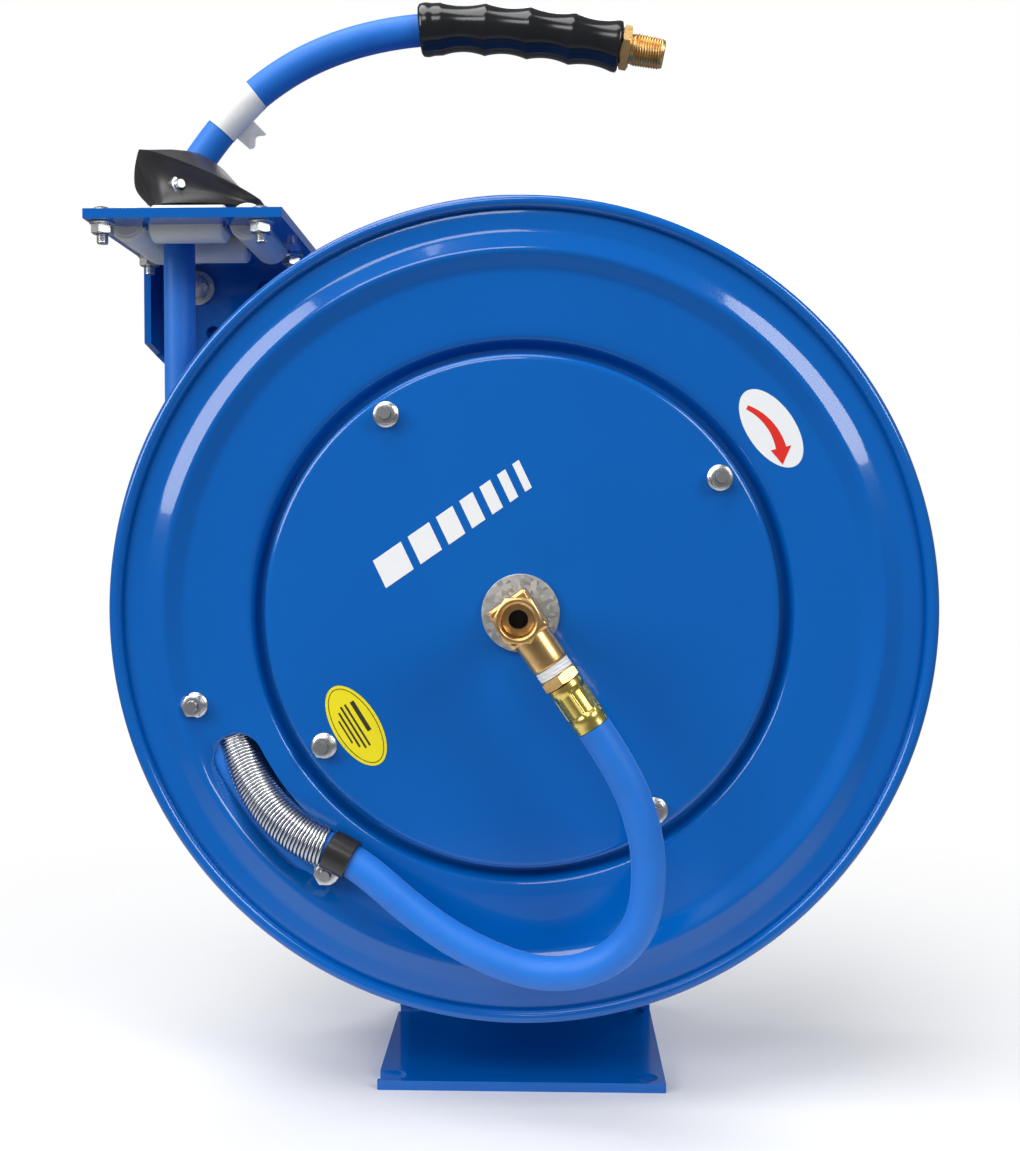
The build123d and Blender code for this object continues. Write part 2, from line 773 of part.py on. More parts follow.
tail_route = lifted([(x, drum_mid, z) for x, z in [
    (lead_x, lead_top),
    (lead_x, lead_top + 8.2),
    (-182.0, 231.0),
    (-173.5, 244.0),
    (-163.5, 257.0),
    (-151.0, 271.0),
    (-135.5, 283.5),
    (-116.0, 295.0),
    (-92.0, 304.0),
    (-66.0, 309.3),
    (-40.0, 310.9),
    (-8.0, 309.3),
    (24.0, 305.2),
    (52.5, 300.0),
]])
tail_radii = corner_radii(tail_route)
print("tail bends", [round(r) for r in tail_radii])
tail_body, tail_path = tube(tail_route, tail_radii, hose_r, hose_bore_r)
save(tail_body, "hose_tail")
tail_fill = tail_body.volume / hose_section / tail_path.length
print("tail length", round(tail_path.length), "volume over section times length", round(tail_fill, 4))

# ---------------------------------------------------------------- swivel inlet
shank_r = m8_r + 2
block_half = 10.5
neck_r = 9.25
stem_r = 8.7
block_front = outlet_y - block_half
block_back = outlet_y + block_half
collar_front = drum_front - swivel_reach
washer_t = 3.0
thread_bore = 7.4

save(ring(shank_r, 19.5, cover_face - washer_t, cover_face), "swivel_washer")
back_nut = at(0, cover_face + cover_sheet, axle_height, (0, 1, 0))
save(hex_stack(back_nut, [("round", 11, 1.5), ("hex", 9.5, 6)], shank_r), "swivel_nut")

with BuildPart() as swivel_body:
    with BuildSketch(facing(cover_face + cover_sheet + 9)):
        Circle(shank_r)
    extrude(amount=cover_sheet + 9 + washer_t)
    with BuildSketch(facing(cover_face - washer_t)):
        Circle(neck_r)
    extrude(amount=cover_face - washer_t - block_back)
    with BuildSketch(facing(block_back, outlet_angle)):
        RectangleRounded(2 * block_half, 2 * block_half, 0.8)
    extrude(amount=2 * block_half)
    with BuildSketch(along_outlet(0)):
        Circle(neck_r)
    extrude(amount=neck_end)
    with BuildSketch(along_outlet(0)):
        Circle(hose_bore_r)
    extrude(amount=neck_end, mode=Mode.SUBTRACT)
    with BuildSketch(along_outlet(14.3)):
        Circle(thread_bore)
    extrude(amount=neck_end - 14.3, mode=Mode.SUBTRACT)
    with BuildSketch(facing(outlet_y + 7)):
        Circle(stem_r + running_gap)
    extrude(amount=40, mode=Mode.SUBTRACT)
save(swivel_body.part, "swivel_body")

stem_back = outlet_y + 6.5
groove_depth = 1.4
with BuildPart() as swivel_collar:
    with BuildSketch(facing(block_front - face_gap)):
        RegularPolygon(10.2, 6, major_radius=False)
    extrude(amount=block_front - face_gap - collar_front)
    chamfer(swivel_collar.faces().sort_by(Axis.Y)[0].edges(), length=0.7)
    with BuildSketch(facing(stem_back)):
        Circle(stem_r)
    extrude(amount=stem_back - block_front + face_gap)
    for ring_y in (outlet_y + 4, outlet_y):
        with BuildSketch(facing(ring_y + 0.9)):
            Circle(stem_r + 1)
            Circle(stem_r - groove_depth, mode=Mode.SUBTRACT)
        extrude(amount=1.8, mode=Mode.SUBTRACT)
    with BuildSketch(facing(stem_back)):
        Circle(4.5)
    extrude(amount=60, mode=Mode.SUBTRACT)
    with BuildSketch(facing(collar_front + port_length)):
        Circle(port_r)
    extrude(amount=port_length, mode=Mode.SUBTRACT)
save(swivel_collar.part, "swivel_collar")

seal_parts = []
for ring_y in (outlet_y + 4, outlet_y):
    with BuildPart() as seal:
        with BuildSketch(half_section()):
            with Locations((stem_r - groove_depth / 2, ring_y)):
                Circle(groove_depth / 2)
        revolve(axis=axle_line)
    seal_parts.append(seal.part)
save(Compound(children=seal_parts), "swivel_seals")

tape_stack = [("round", thread_bore + 1.1, tape_end - neck_end)]
save(hex_stack(along_outlet(neck_end), tape_stack, thread_bore), "thread_tape")
nipple_start = 15.0
nipple_stack = [
    ("round", thread_bore, tape_end - nipple_start),
    ("hex", 8.75, hex_end - tape_end),
    ("round", hose_bore_r, 20),
]
save(hex_stack(along_outlet(nipple_start), nipple_stack, 3.2), "hose_nipple")
with BuildPart() as crimp_ferrule:
    with BuildSketch(along_outlet(hex_end)):
        Circle(8.3)
        Circle(crimped, mode=Mode.SUBTRACT)
    extrude(amount=ferrule_end - hex_end)
save(crimp_ferrule.part, "crimp_ferrule")

# ---------------------------------------------------------------- hose clamps on the drum flange
plateau_y = drum_front + flange_plateau
clamp_point = 12
band_t = 1.6
hose_room = tube(loop_route, loop_radii, hose_r + 0.05)[0]


def hose_band(index, foot, foot_y, half_width):
    """Strap round the hose with a flat foot on the flange for its bolt."""
    centre = Vector(*loop_route[index])
    ahead = Vector(*loop_route[index + 1]) - Vector(*loop_route[index - 1])
    direction = ahead.normalized()
    foot_x, foot_z = foot
    reach = Vector(foot_x - centre.X, 0, foot_z + axle_height - centre.Z)
    with BuildPart() as band:
        with BuildSketch(Plane(centre - direction * half_width, z_dir=direction)):
            Circle(hose_r + band_t)
        extrude(amount=2 * half_width)
        with BuildSketch(Plane((foot_x, foot_y, foot_z + axle_height), x_dir=reach, z_dir=(0, -1, 0))):
            SlotOverall(13.5, 13.4)
            with Locations((-reach.length / 2, 0)):
                Rectangle(reach.length, 13.4)
            Circle(m6_r, mode=Mode.SUBTRACT)
        extrude(amount=2.4)
        with BuildSketch(Plane((centre.X, foot_y, centre.Z), x_dir=reach, z_dir=(0, -1, 0))):
            Rectangle(1.2 * hose_r, 2 * half_width)
        extrude(amount=foot_y - centre.Y)
        add(hose_room, mode=Mode.SUBTRACT)
    return band.part


save(hose_band(clamp_point, clamp_bolt, plateau_y, 6.4), "hose_clamp")
with BuildPart() as inner_clip:
    add(hose_band(clamp_point + 6, inner_clip_bolt, inner_front + 2.4, 6.0))
    add(front_flange.part, mode=Mode.SUBTRACT)
save(inner_clip.part.solids().sort_by(SortBy.VOLUME)[-1], "inner_clip")

flange_bolts = []
for (bolt_x, bolt_z), under, over in (
    (clamp_bolt, inner_front, plateau_y - 2.4),
    (inner_clip_bolt, inner_front + 2.4, plateau_y),
):
    bolt = [("round", 5.3, 2.2), ("round", m6_r, under - over + 7.4)]
    flange_bolts.append(hex_stack(at(bolt_x, under + 2.2, axle_height + bolt_z, (0, -1, 0)), bolt))
    flange_bolts.append(hex_stack(at(bolt_x, over, axle_height + bolt_z, (0, -1, 0)), flange_nut, m6_r))
save(Compound(children=flange_bolts), "flange_fasteners")

# ---------------------------------------------------------------- labels
label_t = 0.3
for name, (label_x, label_z), face_y, half_long, half_short, angle in (
    ("caution_label", around(cover_bolt_r - 19.06, 214.58), cover_face, 22.8, 11.7, -58),
    ("rotation_label", (124.5, 91.8), plateau_y, 22.5, 11.8, -55),
):
    with BuildPart() as label:
        with BuildSketch(facing(face_y)):
            with Locations(Location((label_x, label_z, 0), (0, 0, angle))):
                Ellipse(half_long, half_short)
        extrude(amount=label_t)
    save(label.part, name)

# ---------------------------------------------------------------- hose stop
stop_centre = Vector(-180.5, drum_mid, 0)
stop_normal = Vector(0.64, -0.77, 0).normalized()
stop_along = Vector(0.77, 0.64, 0).normalized()
stop_bolt_z = 222.5
stop_bolt_side = 14.6
m5_r = 2.5
stop_bottom = lead_top
dome_points = [
    (-206.3, 243.1),
    (-191.4, 244.7),
    (-177.8, 243.3),
    (-164.7, 236.4),
    (-152.7, 227.5),
    (-144.5, 216.5),
]
with BuildPart() as stop_block:
    with BuildSketch(facing(drum_mid + 31)):
        with BuildLine():
            dome = Spline(*dome_points)
            Polyline(dome @ 1, (-147.5, stop_bottom), (-201.5, stop_bottom), (-212.7, 225.1), dome @ 0)
        make_face()
    extrude(amount=62)
    with BuildSketch(Plane.XY.offset(axle_height + stop_bottom - 5)):
        with Locations((-178.5, drum_mid)):
            Ellipse(35, 30)
    extrude(amount=60, mode=Mode.INTERSECT)
    for side in (-1, 1):
        start = stop_centre + stop_along * (side * stop_bolt_side) - stop_normal * 40
        with BuildSketch(Plane((start.X, start.Y, axle_height + stop_bolt_z), z_dir=stop_normal)):
            Circle(m5_r)
        extrude(amount=80, mode=Mode.SUBTRACT)
        for end in (-1, 1):
            start = stop_centre + stop_along * (side * stop_bolt_side) + stop_normal * (end * 14)
            with BuildSketch(Plane((start.X, start.Y, axle_height + stop_bolt_z), z_dir=stop_normal * end)):
                Circle(6.5)
            extrude(amount=40, mode=Mode.SUBTRACT)
tail_solid = tube(tail_route, tail_radii, hose_r)[0]
for name, half in (("stop_half_front", Keep.TOP), ("stop_half_rear", Keep.BOTTOM)):
    with BuildPart() as stop_half:
        add(stop_block.part)
        add(tail_solid, mode=Mode.SUBTRACT)
        cut_plane = Plane((stop_centre.X, stop_centre.Y, axle_height), z_dir=stop_normal)
        split(bisect_by=cut_plane, keep=half)
    pieces = stop_half.part.solids().sort_by(SortBy.VOLUME)
    save(pieces[-1], name)

stop_bolts = []
for side in (-1, 1):
    start = stop_centre + stop_along * (side * stop_bolt_side) - stop_normal * 14
    place = Plane((start.X, start.Y, axle_height + stop_bolt_z), z_dir=stop_normal)
    stop_bolts.append(hex_stack(place, [("round", m5_r, 34)]))
    head = Plane((start.X, start.Y, axle_height + stop_bolt_z), z_dir=stop_normal * -1)
    stop_bolts[-1] = stop_bolts[-1] + hex_stack(head, [("hex", 4.0, 3.5)])
    far_side = start + stop_normal * 28
    nut = Plane((far_side.X, far_side.Y, axle_height + stop_bolt_z), z_dir=stop_normal)
    stop_bolts.append(hex_stack(nut, [("hex", 4.0, 4.0)], m5_r))
save(Compound(children=stop_bolts), "stop_bolts")

# ---------------------------------------------------------------- hand grip and end fitting
grip_length = 108.5
grip_r = 13.7
groove = 1.7
finger_grooves = 5
grip_start = 1 - grip_length / tail_path.length
grip_stations = 41
with BuildPart() as hose_grip:
    for station in range(grip_stations):
        share = station / (grip_stations - 1)
        spot = grip_start + (1 - grip_start) * share
        wave = 0.5 - 0.5 * math.cos(2 * math.pi * finger_grooves * min(1, max(0, (share - 0.08) / 0.84)))
        with BuildSketch(Plane(tail_path @ spot, z_dir=tail_path % spot)):
            Circle(grip_r - groove * wave)
    loft()
    add(tail_solid, mode=Mode.SUBTRACT)
grip_pieces = hose_grip.part.solids().sort_by(SortBy.VOLUME)
save(grip_pieces[-1], "hose_grip")

grip_end = tail_path @ 1
end_axis = tail_path % 1
fitting_hex = 5.4
male_r = 8.55
male_length = 18.0
barb_length = 22.0
end_plane = Plane(grip_end, z_dir=end_axis)
with BuildPart() as outlet_fitting:
    with BuildSketch(end_plane):
        RegularPolygon(9.9, 6, major_radius=False)
    extrude(amount=fitting_hex)
    with BuildSketch(end_plane.offset(fitting_hex)):
        Circle(male_r)
    extrude(amount=male_length)
    chamfer(outlet_fitting.faces().sort_by(Axis.X)[-1].edges(), length=0.9)
    with BuildSketch(end_plane):
        Circle(hose_bore_r)
    extrude(amount=-barb_length)
    with BuildSketch(end_plane.offset(-barb_length)):
        Circle(3.6)
    extrude(amount=barb_length + fitting_hex + male_length, mode=Mode.SUBTRACT)
save(outlet_fitting.part, "outlet_fitting")
thread_mid = end_plane.offset(fitting_hex + male_length / 2).origin
print("outlet thread centre", [round(v, 2) for v in thread_mid], "axis", [round(v, 5) for v in end_axis])

tag_start = Vector(*tail_route[4]) * 0.9 + Vector(*tail_route[5]) * 0.1
tag_end = Vector(*tail_route[6]) * 0.5 + Vector(*tail_route[7]) * 0.5
tag_route = [tuple(tag_start), tail_route[5], tail_route[6], tuple(tag_end)]
save(tube(tag_route, tail_radii[4:6], hose_r + 0.5, hose_r + 0.12)[0], "hose_tag")
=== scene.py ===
import math

import bmesh
import bpy
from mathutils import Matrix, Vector


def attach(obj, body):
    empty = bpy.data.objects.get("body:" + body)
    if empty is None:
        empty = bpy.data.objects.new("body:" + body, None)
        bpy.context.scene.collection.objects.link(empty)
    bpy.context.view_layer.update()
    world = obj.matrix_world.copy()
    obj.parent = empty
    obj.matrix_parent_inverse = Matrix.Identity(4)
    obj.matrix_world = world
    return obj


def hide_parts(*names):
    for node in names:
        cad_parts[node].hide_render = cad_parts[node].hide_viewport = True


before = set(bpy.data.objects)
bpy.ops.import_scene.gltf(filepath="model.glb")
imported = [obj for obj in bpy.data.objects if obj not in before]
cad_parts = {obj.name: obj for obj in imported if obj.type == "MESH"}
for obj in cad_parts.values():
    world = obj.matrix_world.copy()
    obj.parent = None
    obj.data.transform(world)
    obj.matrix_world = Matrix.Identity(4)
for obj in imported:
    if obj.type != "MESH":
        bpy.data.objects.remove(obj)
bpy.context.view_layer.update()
scene = bpy.context.scene
mm = 0.001
hub = Vector((0, 0, 0.25))  # where the axle line crosses the middle of the base
fullTurn = 2 * math.pi
print("frame loaded")


def reel(x, y, z):
    return Vector((x, y, z)) * mm + hub  # millimetres about the axle line


def onDisc(radius, degrees, y):
    a = math.radians(degrees)
    return reel(radius * math.cos(a), y, radius * math.sin(a))


# Driving sizes of the reel, in millimetres, as the steel parts have them
drum = {
    "front": -83.5, "rear": 34.5, "middle": -24.5, "sheet": 2.0,
    "rimRadius": 207.5, "rollRadius": 3.25, "coverRadius": 129.5, "coverFace": -81.5,
    "coverBoltRadius": 119.5, "coverBoltAngle": 34.2, "plateauFace": -78.0,
}
hose = {"radius": 8.25, "pitch": 17.2, "firstLayer": 155.25, "layerStep": 15.6, "leadX": -186.45}

# Camera and light
cameraSpec = {"place": (0.0126, -0.7255, 0.2877), "tilt": 88.3, "turn": 1.594, "lens": 40.39}
camera = bpy.data.objects.new("camera", bpy.data.cameras.new("camera"))
camera.data.lens = cameraSpec["lens"]
camera.data.sensor_width = 36
camera.data.clip_start = 0.05
camera.location = cameraSpec["place"]
camera.rotation_euler = (math.radians(cameraSpec["tilt"]), 0, math.radians(cameraSpec["turn"]))
scene.collection.objects.link(camera)
scene.camera = camera
scene.view_settings.view_transform = "Standard"

# Softboxes: place, aim, width and height in metres, power in watts
softboxes = {
    "topBox": ((-0.5, -0.35, 2.1), (0, 0, 0.3), 1.7, 1.2, 30),
    "leftBox": ((-1.7, -1.3, 1.25), (0, 0, 0.3), 1.0, 1.3, 30),
    "rightBox": ((1.6, -1.5, 1.5), (0, 0, 0.3), 0.8, 1.2, 26),
    "frontStrip": ((-0.45, -1.7, 1.55), (0, 0, 0.35), 0.9, 0.5, 9),
    "backBox": ((0.6, 1.7, 1.5), (0, 0, 0.3), 1.4, 1.0, 16),
}
for boxName, (spot, aim, wide, tall, power) in softboxes.items():
    light = bpy.data.objects.new(boxName, bpy.data.lights.new(boxName, "AREA"))
    light.data.shape = "RECTANGLE"
    light.data.size = wide
    light.data.size_y = tall
    light.data.energy = power
    light.location = spot
    light.rotation_euler = (Vector(aim) - Vector(spot)).to_track_quat("-Z", "Y").to_euler()
    scene.collection.objects.link(light)


# Shaders
class Value:  # a socket that adds and multiplies as a number does
    def __init__(self, finish, socket):
        self.finish = finish
        self.socket = socket

    def sums(self, operation, first, second):
        return self.finish.node("Math", {"operation": operation}, {0: first, 1: second})

    def __add__(self, other):
        return self.sums("ADD", self, other)

    def __radd__(self, other):
        return self.sums("ADD", other, self)

    def __mul__(self, other):
        return self.sums("MULTIPLY", self, other)


class Finish:  # one material, with what its nodes need close at hand
    def __init__(self, name, slotName, fixed):
        self.material = bpy.data.materials.new(name)
        self.material.use_nodes = True
        self.tree = self.material.node_tree
        self.surface = self.tree.nodes["Principled BSDF"]
        self.slotName = slotName
        for socketName, value in fixed.items():
            self.surface.inputs[socketName].default_value = value

    def feed(self, socket, value):
        if isinstance(value, Value):
            self.tree.links.new(value.socket, socket)
        else:
            socket.default_value = value

    def node(self, kind, settings=None, sockets=None, output=0):
        made = self.tree.nodes.new("ShaderNode" + kind)
        for key, value in (settings or {}).items():
            if key == "stops":
                self.setStops(made.color_ramp.elements, value)
            else:
                setattr(made, key, value)
        for key, value in (sockets or {}).items():
            self.feed(made.inputs[key], value)
        return Value(self, made.outputs[output])

    def setStops(self, elements, stops):
        while len(elements) < len(stops):
            elements.new(0.5)
        for element, (position, grey) in zip(elements, stops):
            element.position = position
            element.color = (grey, grey, grey, 1)

    def place(self):
        return self.node("TexCoord", output=3)  # the piece's own coordinates, in metres

    def stretched(self, scale):
        return self.node("Mapping", {}, {"Vector": self.place(), "Scale": scale})

    def noise(self, scale, detail=2.0, roughness=0.5, where=None):
        sockets = {"Vector": where or self.place(), "Scale": scale, "Detail": detail, "Roughness": roughness}
        return self.node("TexNoise", {}, sockets)

    def ramp(self, value, stops):
        return self.node("ValToRGB", {"stops": stops}, {0: value})

    def blend(self, factor, first, second):
        return self.node("Mix", {"data_type": "RGBA"}, {0: factor, 6: first, 7: second}, 2)

    def bump(self, height, strength, distance):
        sockets = {"Height": height, "Strength": strength, "Distance": distance}
        self.use("Normal", self.node("Bump", {}, sockets))

    def use(self, socketName, value):
        self.feed(self.surface.inputs[socketName], value)


def colour(red, green, blue):
    return (red, green, blue, 1)


def paintFinish():  # glossy baked enamel on pressed steel
    spec = {"body": colour(0.0, 0.118, 0.47), "deep": colour(0.0, 0.09, 0.38), "peel": 520, "cloud": 9}
    coat = {"Coat Weight": 0.6, "Coat Roughness": 0.04, "Specular IOR Level": 0.22}
    finish = Finish("bluePaint", "blue_paint", coat)
    cloud = finish.noise(spec["cloud"], 3)
    speck = finish.ramp(finish.noise(1900, 1), [(0.74, 0), (0.8, 1)])
    finish.use("Base Color", finish.blend(cloud * 0.9 + speck * 0.12, spec["body"], spec["deep"]))
    finish.use("Roughness", 0.1 + finish.noise(38, 4) * 0.1 + speck * 0.2)
    finish.bump(finish.noise(spec["peel"], 1) + speck * 0.6, 0.045, 0.0005)
    return finish


def hoseFinish(name, slotName, body, dark):  # matt-satin extruded hybrid hose
    finish = Finish(name, slotName, {"Sheen Weight": 0.22, "Sheen Roughness": 0.4,
                                     "Sheen Tint": colour(0.5, 0.7, 1.0), "Specular IOR Level": 0.4})
    grain = finish.noise(2600, 2)
    smear = finish.noise(60, 4, 0.6)
    finish.use("Base Color", finish.blend(smear * 0.8 + grain * 0.25, body, dark))
    finish.use("Roughness", 0.42 + smear * 0.16)
    finish.bump(grain * 0.5 + finish.noise(420, 2), 0.1, 0.0004)
    return finish


def metalFinish(name, slotName, light, dark, rough, grainScale=900, streak=(1, 1, 1), bumpStrength=0.08):
    finish = Finish(name, slotName, {"Metallic": 1.0})
    where = finish.stretched(streak)
    grain = finish.noise(grainScale, 3, 0.6, where)
    cloud = finish.noise(130, 3)
    finish.use("Base Color", finish.blend(cloud * 0.7 + grain * 0.3, light, dark))
    finish.use("Roughness", rough + grain * 0.14 + cloud * 0.06)
    finish.bump(grain, bumpStrength, 0.0003)
    return finish


def turnedBrass():  # bar-turned brass with fine tool marks and a few darker handling stains
    finish = Finish("turnedBrass", "brass", {"Metallic": 1.0})
    stain = finish.noise(150, 4, 0.6)
    marks = finish.noise(1400, 2, 0.5, finish.stretched((1, 6, 1)))
    finish.use("Base Color", finish.blend(finish.ramp(stain, [(0.35, 0), (0.75, 1)]),
                                          colour(0.86, 0.57, 0.25), colour(0.58, 0.33, 0.11)))
    finish.use("Roughness", 0.2 + stain * 0.16 + marks * 0.08)
    finish.bump(marks, 0.12, 0.0002)
    return finish


def spangledZinc():  # hot-dip washer: dull crystals in slightly different greys
    finish = Finish("spangledZinc", "zinc_steel", {"Metallic": 0.9})
    crystals = finish.node("TexVoronoi", {"feature": "F1"},
                           {"Vector": finish.place(), "Scale": 420, "Randomness": 1.0}, 1)
    grey = finish.node("RGBToBW", {}, {0: crystals})
    finish.use("Base Color", finish.blend(grey, colour(0.4, 0.41, 0.41), colour(0.62, 0.62, 0.6)))
    finish.use("Roughness", 0.36 + grey * 0.2)
    finish.bump(finish.noise(700, 3), 0.12, 0.0003)
    return finish


def nylonFinish():  # natural nylon, slightly see-through at its edges
    finish = Finish("naturalNylon", "nylon", {"Subsurface Weight": 0.35, "Subsurface Scale": 0.004,
                                              "Subsurface Radius": (1.0, 0.9, 0.7)})
    cloud = finish.noise(90, 3)
    finish.use("Base Color", finish.blend(cloud, colour(0.86, 0.85, 0.79), colour(0.74, 0.73, 0.66)))
    finish.use("Roughness", 0.34 + cloud * 0.14)
    finish.bump(finish.noise(900, 2), 0.08, 0.0003)
    return finish


def mouldedFinish(name, slotName, tone, rough, grainScale, strength):
    finish = Finish(name, slotName, {"Specular IOR Level": 0.5})
    grain = finish.node("TexVoronoi", {"feature": "F1"}, {"Vector": finish.place(), "Scale": grainScale})
    cloud = finish.noise(70, 4)
    dusty = [channel * 1.9 + 0.006 for channel in tone[:3]] + [1]
    finish.use("Base Color", finish.blend(cloud * 0.8, tone, dusty))
    finish.use("Roughness", rough + cloud * 0.14)
    finish.bump(grain + finish.noise(grainScale * 0.6, 2) * 0.6, strength, 0.0003)
    return finish


def sheetFinish(name, slotName, tone, worn, rough):  # vinyl, paper and tape
    finish = Finish(name, slotName, {})
    cloud = finish.noise(110, 4)
    fibre = finish.noise(1500, 2, 0.6, finish.stretched((1, 1, 4)))
    finish.use("Base Color", finish.blend(cloud * 0.6 + fibre * 0.3, tone, worn))
    finish.use("Roughness", rough + fibre * 0.12)
    finish.bump(fibre, 0.12, 0.0002)
    return finish


paint = paintFinish()
hoseBlue = hoseFinish("hoseBlue", "blue_hose", colour(0.012, 0.19, 0.7), colour(0.008, 0.14, 0.56))
zinc = metalFinish("brightZinc", "zinc_steel", colour(0.72, 0.72, 0.71), colour(0.5, 0.51, 0.52), 0.19)
turnedSteel = metalFinish("turnedSteel", "turned_steel", colour(0.56, 0.56, 0.57),
                          colour(0.36, 0.36, 0.37), 0.28, 1200, (1, 5, 1), 0.14)
springSteel = metalFinish("springSteel", "spring_steel", colour(0.25, 0.28, 0.36),
                          colour(0.12, 0.12, 0.15), 0.3)
guardWire = metalFinish("guardWire", "guard_wire", colour(0.66, 0.67, 0.69),
                        colour(0.5, 0.51, 0.53), 0.14, 700)
brass = turnedBrass()
goldPlate = metalFinish("goldPlate", "gold_ferrule", colour(0.9, 0.72, 0.24),
                        colour(0.66, 0.47, 0.09), 0.17, 600)
washerZinc = spangledZinc()
nylon = nylonFinish()
blackPlastic = mouldedFinish("blackPlastic", "black_plastic", colour(0.016, 0.014, 0.015), 0.3, 2400, 0.12)
strapNylon = mouldedFinish("strapNylon", "black_rubber", colour(0.012, 0.011, 0.011), 0.24, 1500, 0.05)
gripRubber = mouldedFinish("gripRubber", "black_rubber", colour(0.006, 0.006, 0.007), 0.1, 1100, 0.04)
sealRubberAndShade = mouldedFinish("sealRubberAndShade", "seal_rubber", colour(0.02, 0.02, 0.02), 0.5, 2000, 0.05)
tape = sheetFinish("sealTape", "white_tape", colour(0.88, 0.88, 0.87), colour(0.72, 0.73, 0.74), 0.4)
tagPaper = sheetFinish("tagPaper", "white_tag", colour(0.86, 0.86, 0.85), colour(0.74, 0.74, 0.72), 0.45)
whiteVinyl = sheetFinish("whiteVinyl", "white_label", colour(0.86, 0.87, 0.88),
                         colour(0.76, 0.78, 0.8), 0.25)
redVinyl = sheetFinish("redVinyl", "white_label", colour(0.78, 0.025, 0.015),
                       colour(0.62, 0.02, 0.012), 0.28)
yellowVinyl = sheetFinish("yellowVinyl", "yellow_label", colour(0.87, 0.75, 0.015),
                          colour(0.78, 0.66, 0.01), 0.28)
blackInk = sheetFinish("blackInk", "yellow_label", colour(0.02, 0.018, 0.01),
                       colour(0.05, 0.045, 0.03), 0.35)
print("finishes made")


# Mesh helpers
def sideways(axis):
    axis = Vector(axis).normalized()
    start = Vector((0, 0, 1)) if abs(axis.z) < 0.9 else Vector((1, 0, 0))
    u = axis.cross(start).normalized()
    return u, axis.cross(u).normalized()


def ringOf(origin, axis, steps, radiusAt, alongAt):  # corners round an axis, both sizes in millimetres
    axis = Vector(axis).normalized()
    u, v = sideways(axis)
    row = []
    for j in range(steps):
        a = fullTurn * j / steps
        across = u * math.cos(a) + v * math.sin(a)
        row.append(origin + axis * (alongAt(a) * mm) + across * (radiusAt(a) * mm))
    return row


def hexRadius(apothem, a):
    return apothem / math.cos((a % (fullTurn / 6)) - fullTurn / 12)


def between(points, place):  # height of a line of points at one place along it
    place = min(max(place, points[0][0]), points[-1][0])
    for (start, low), (end, high) in zip(points, points[1:]):
        if place <= end:
            return low + (high - low) * (place - start) / (end - start)
    return points[-1][1]


def ease(share):
    share = min(1, max(0, share))
    return share * share * (3 - 2 * share)


def settle(obj, finish, body, replaced=()):
    obj.data.materials.append(finish.material)
    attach(obj, body)
    if replaced:
        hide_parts(*replaced)
    return obj


class Shape:  # corners and faces gathered from several forms, in metres
    def __init__(self):
        self.verts = []
        self.faces = []

    def rows(self, rows, around=True, capStart=False, capEnd=False, loop=False):
        count = len(rows[0])
        starts = [len(self.verts) + i * count for i in range(len(rows))]
        for row in rows:
            self.verts.extend(tuple(point) for point in row)
        pairs = list(zip(starts, starts[1:]))
        if loop:
            pairs.append((starts[-1], starts[0]))
        for a, b in pairs:
            for j in range(count if around else count - 1):
                k = (j + 1) % count
                self.faces.append([a + j, a + k, b + k, b + j])
        if capStart:
            self.faces.append([starts[0] + j for j in reversed(range(count))])
        if capEnd:
            self.faces.append([starts[-1] + j for j in range(count)])
        return self

    def turn(self, outline, origin, axis, steps=48, radiusAt=None, **ends):
        rings = []
        for radius, along in outline:  # millimetres
            def here(a):
                return radiusAt(radius, along, a) if radiusAt else radius

            rings.append(ringOf(origin, axis, steps, here, lambda a: along))
        return self.rows(rings, **ends)

    def prism(self, outline, origin, u, v, depth):
        low = [origin + u * (x * mm) + v * (y * mm) for x, y in outline]
        high = [point + depth for point in low]
        return self.rows([low, high], capStart=True, capEnd=True)

    def hexagon(self, apothem, low, high, bore, origin, axis, side=8):
        slope, under, top, lip = 0.55, apothem * 0.97, apothem * 0.95, 0.25

        def flat(a):
            return hexRadius(apothem, a)

        sizes = [
            (lambda a: bore, lambda a: low),
            (lambda a: under, lambda a: low),
            (flat, lambda a: low + (flat(a) - under) * slope),
            (flat, lambda a: high - (flat(a) - top) * slope),
            (lambda a: top, lambda a: high),
            (lambda a: bore + lip, lambda a: high),
            (lambda a: bore, lambda a: high - lip),
        ]
        rings = [ringOf(origin, axis, 6 * side, radius, along) for radius, along in sizes]
        return self.rows(rings, loop=True)

    def thread(self, radius, depth, pitch, low, high, origin, axis, steps=36, taper=0.0, inner=0.0):
        slices = max(2, round((high - low) / pitch * 6))
        outline = [(inner or 0.05, low)]
        outline += [(radius, low + (high - low) * i / slices) for i in range(slices + 1)]
        outline.append((inner or 0.05, high))

        def radiusAt(r, along, a):
            if r < radius:
                return r
            fade = min(1, (along - low) / pitch, (high - along) / pitch)
            phase = (along / pitch - a / fullTurn) % 1
            return r - taper * (along - low) - depth * (1 - fade * (1 - abs(2 * phase - 1)))

        return self.turn(outline, origin, axis, steps, radiusAt, loop=bool(inner),
                         capStart=not inner, capEnd=not inner)

    def make(self, name, finish, body, replaced=(), sharp=32):
        mesh = bpy.data.meshes.new(name)
        mesh.from_pydata(self.verts, [], self.faces)
        work = bmesh.new()
        work.from_mesh(mesh)
        bmesh.ops.remove_doubles(work, verts=work.verts, dist=1e-6)
        bmesh.ops.dissolve_degenerate(work, dist=1e-7, edges=work.edges)
        bmesh.ops.recalc_face_normals(work, faces=work.faces)
        work.to_mesh(mesh)
        work.free()
        mesh.shade_smooth()
        mesh.set_sharp_from_angle(angle=math.radians(sharp))
        obj = bpy.data.objects.new(name, mesh)
        scene.collection.objects.link(obj)
        return settle(obj, finish, body, replaced)


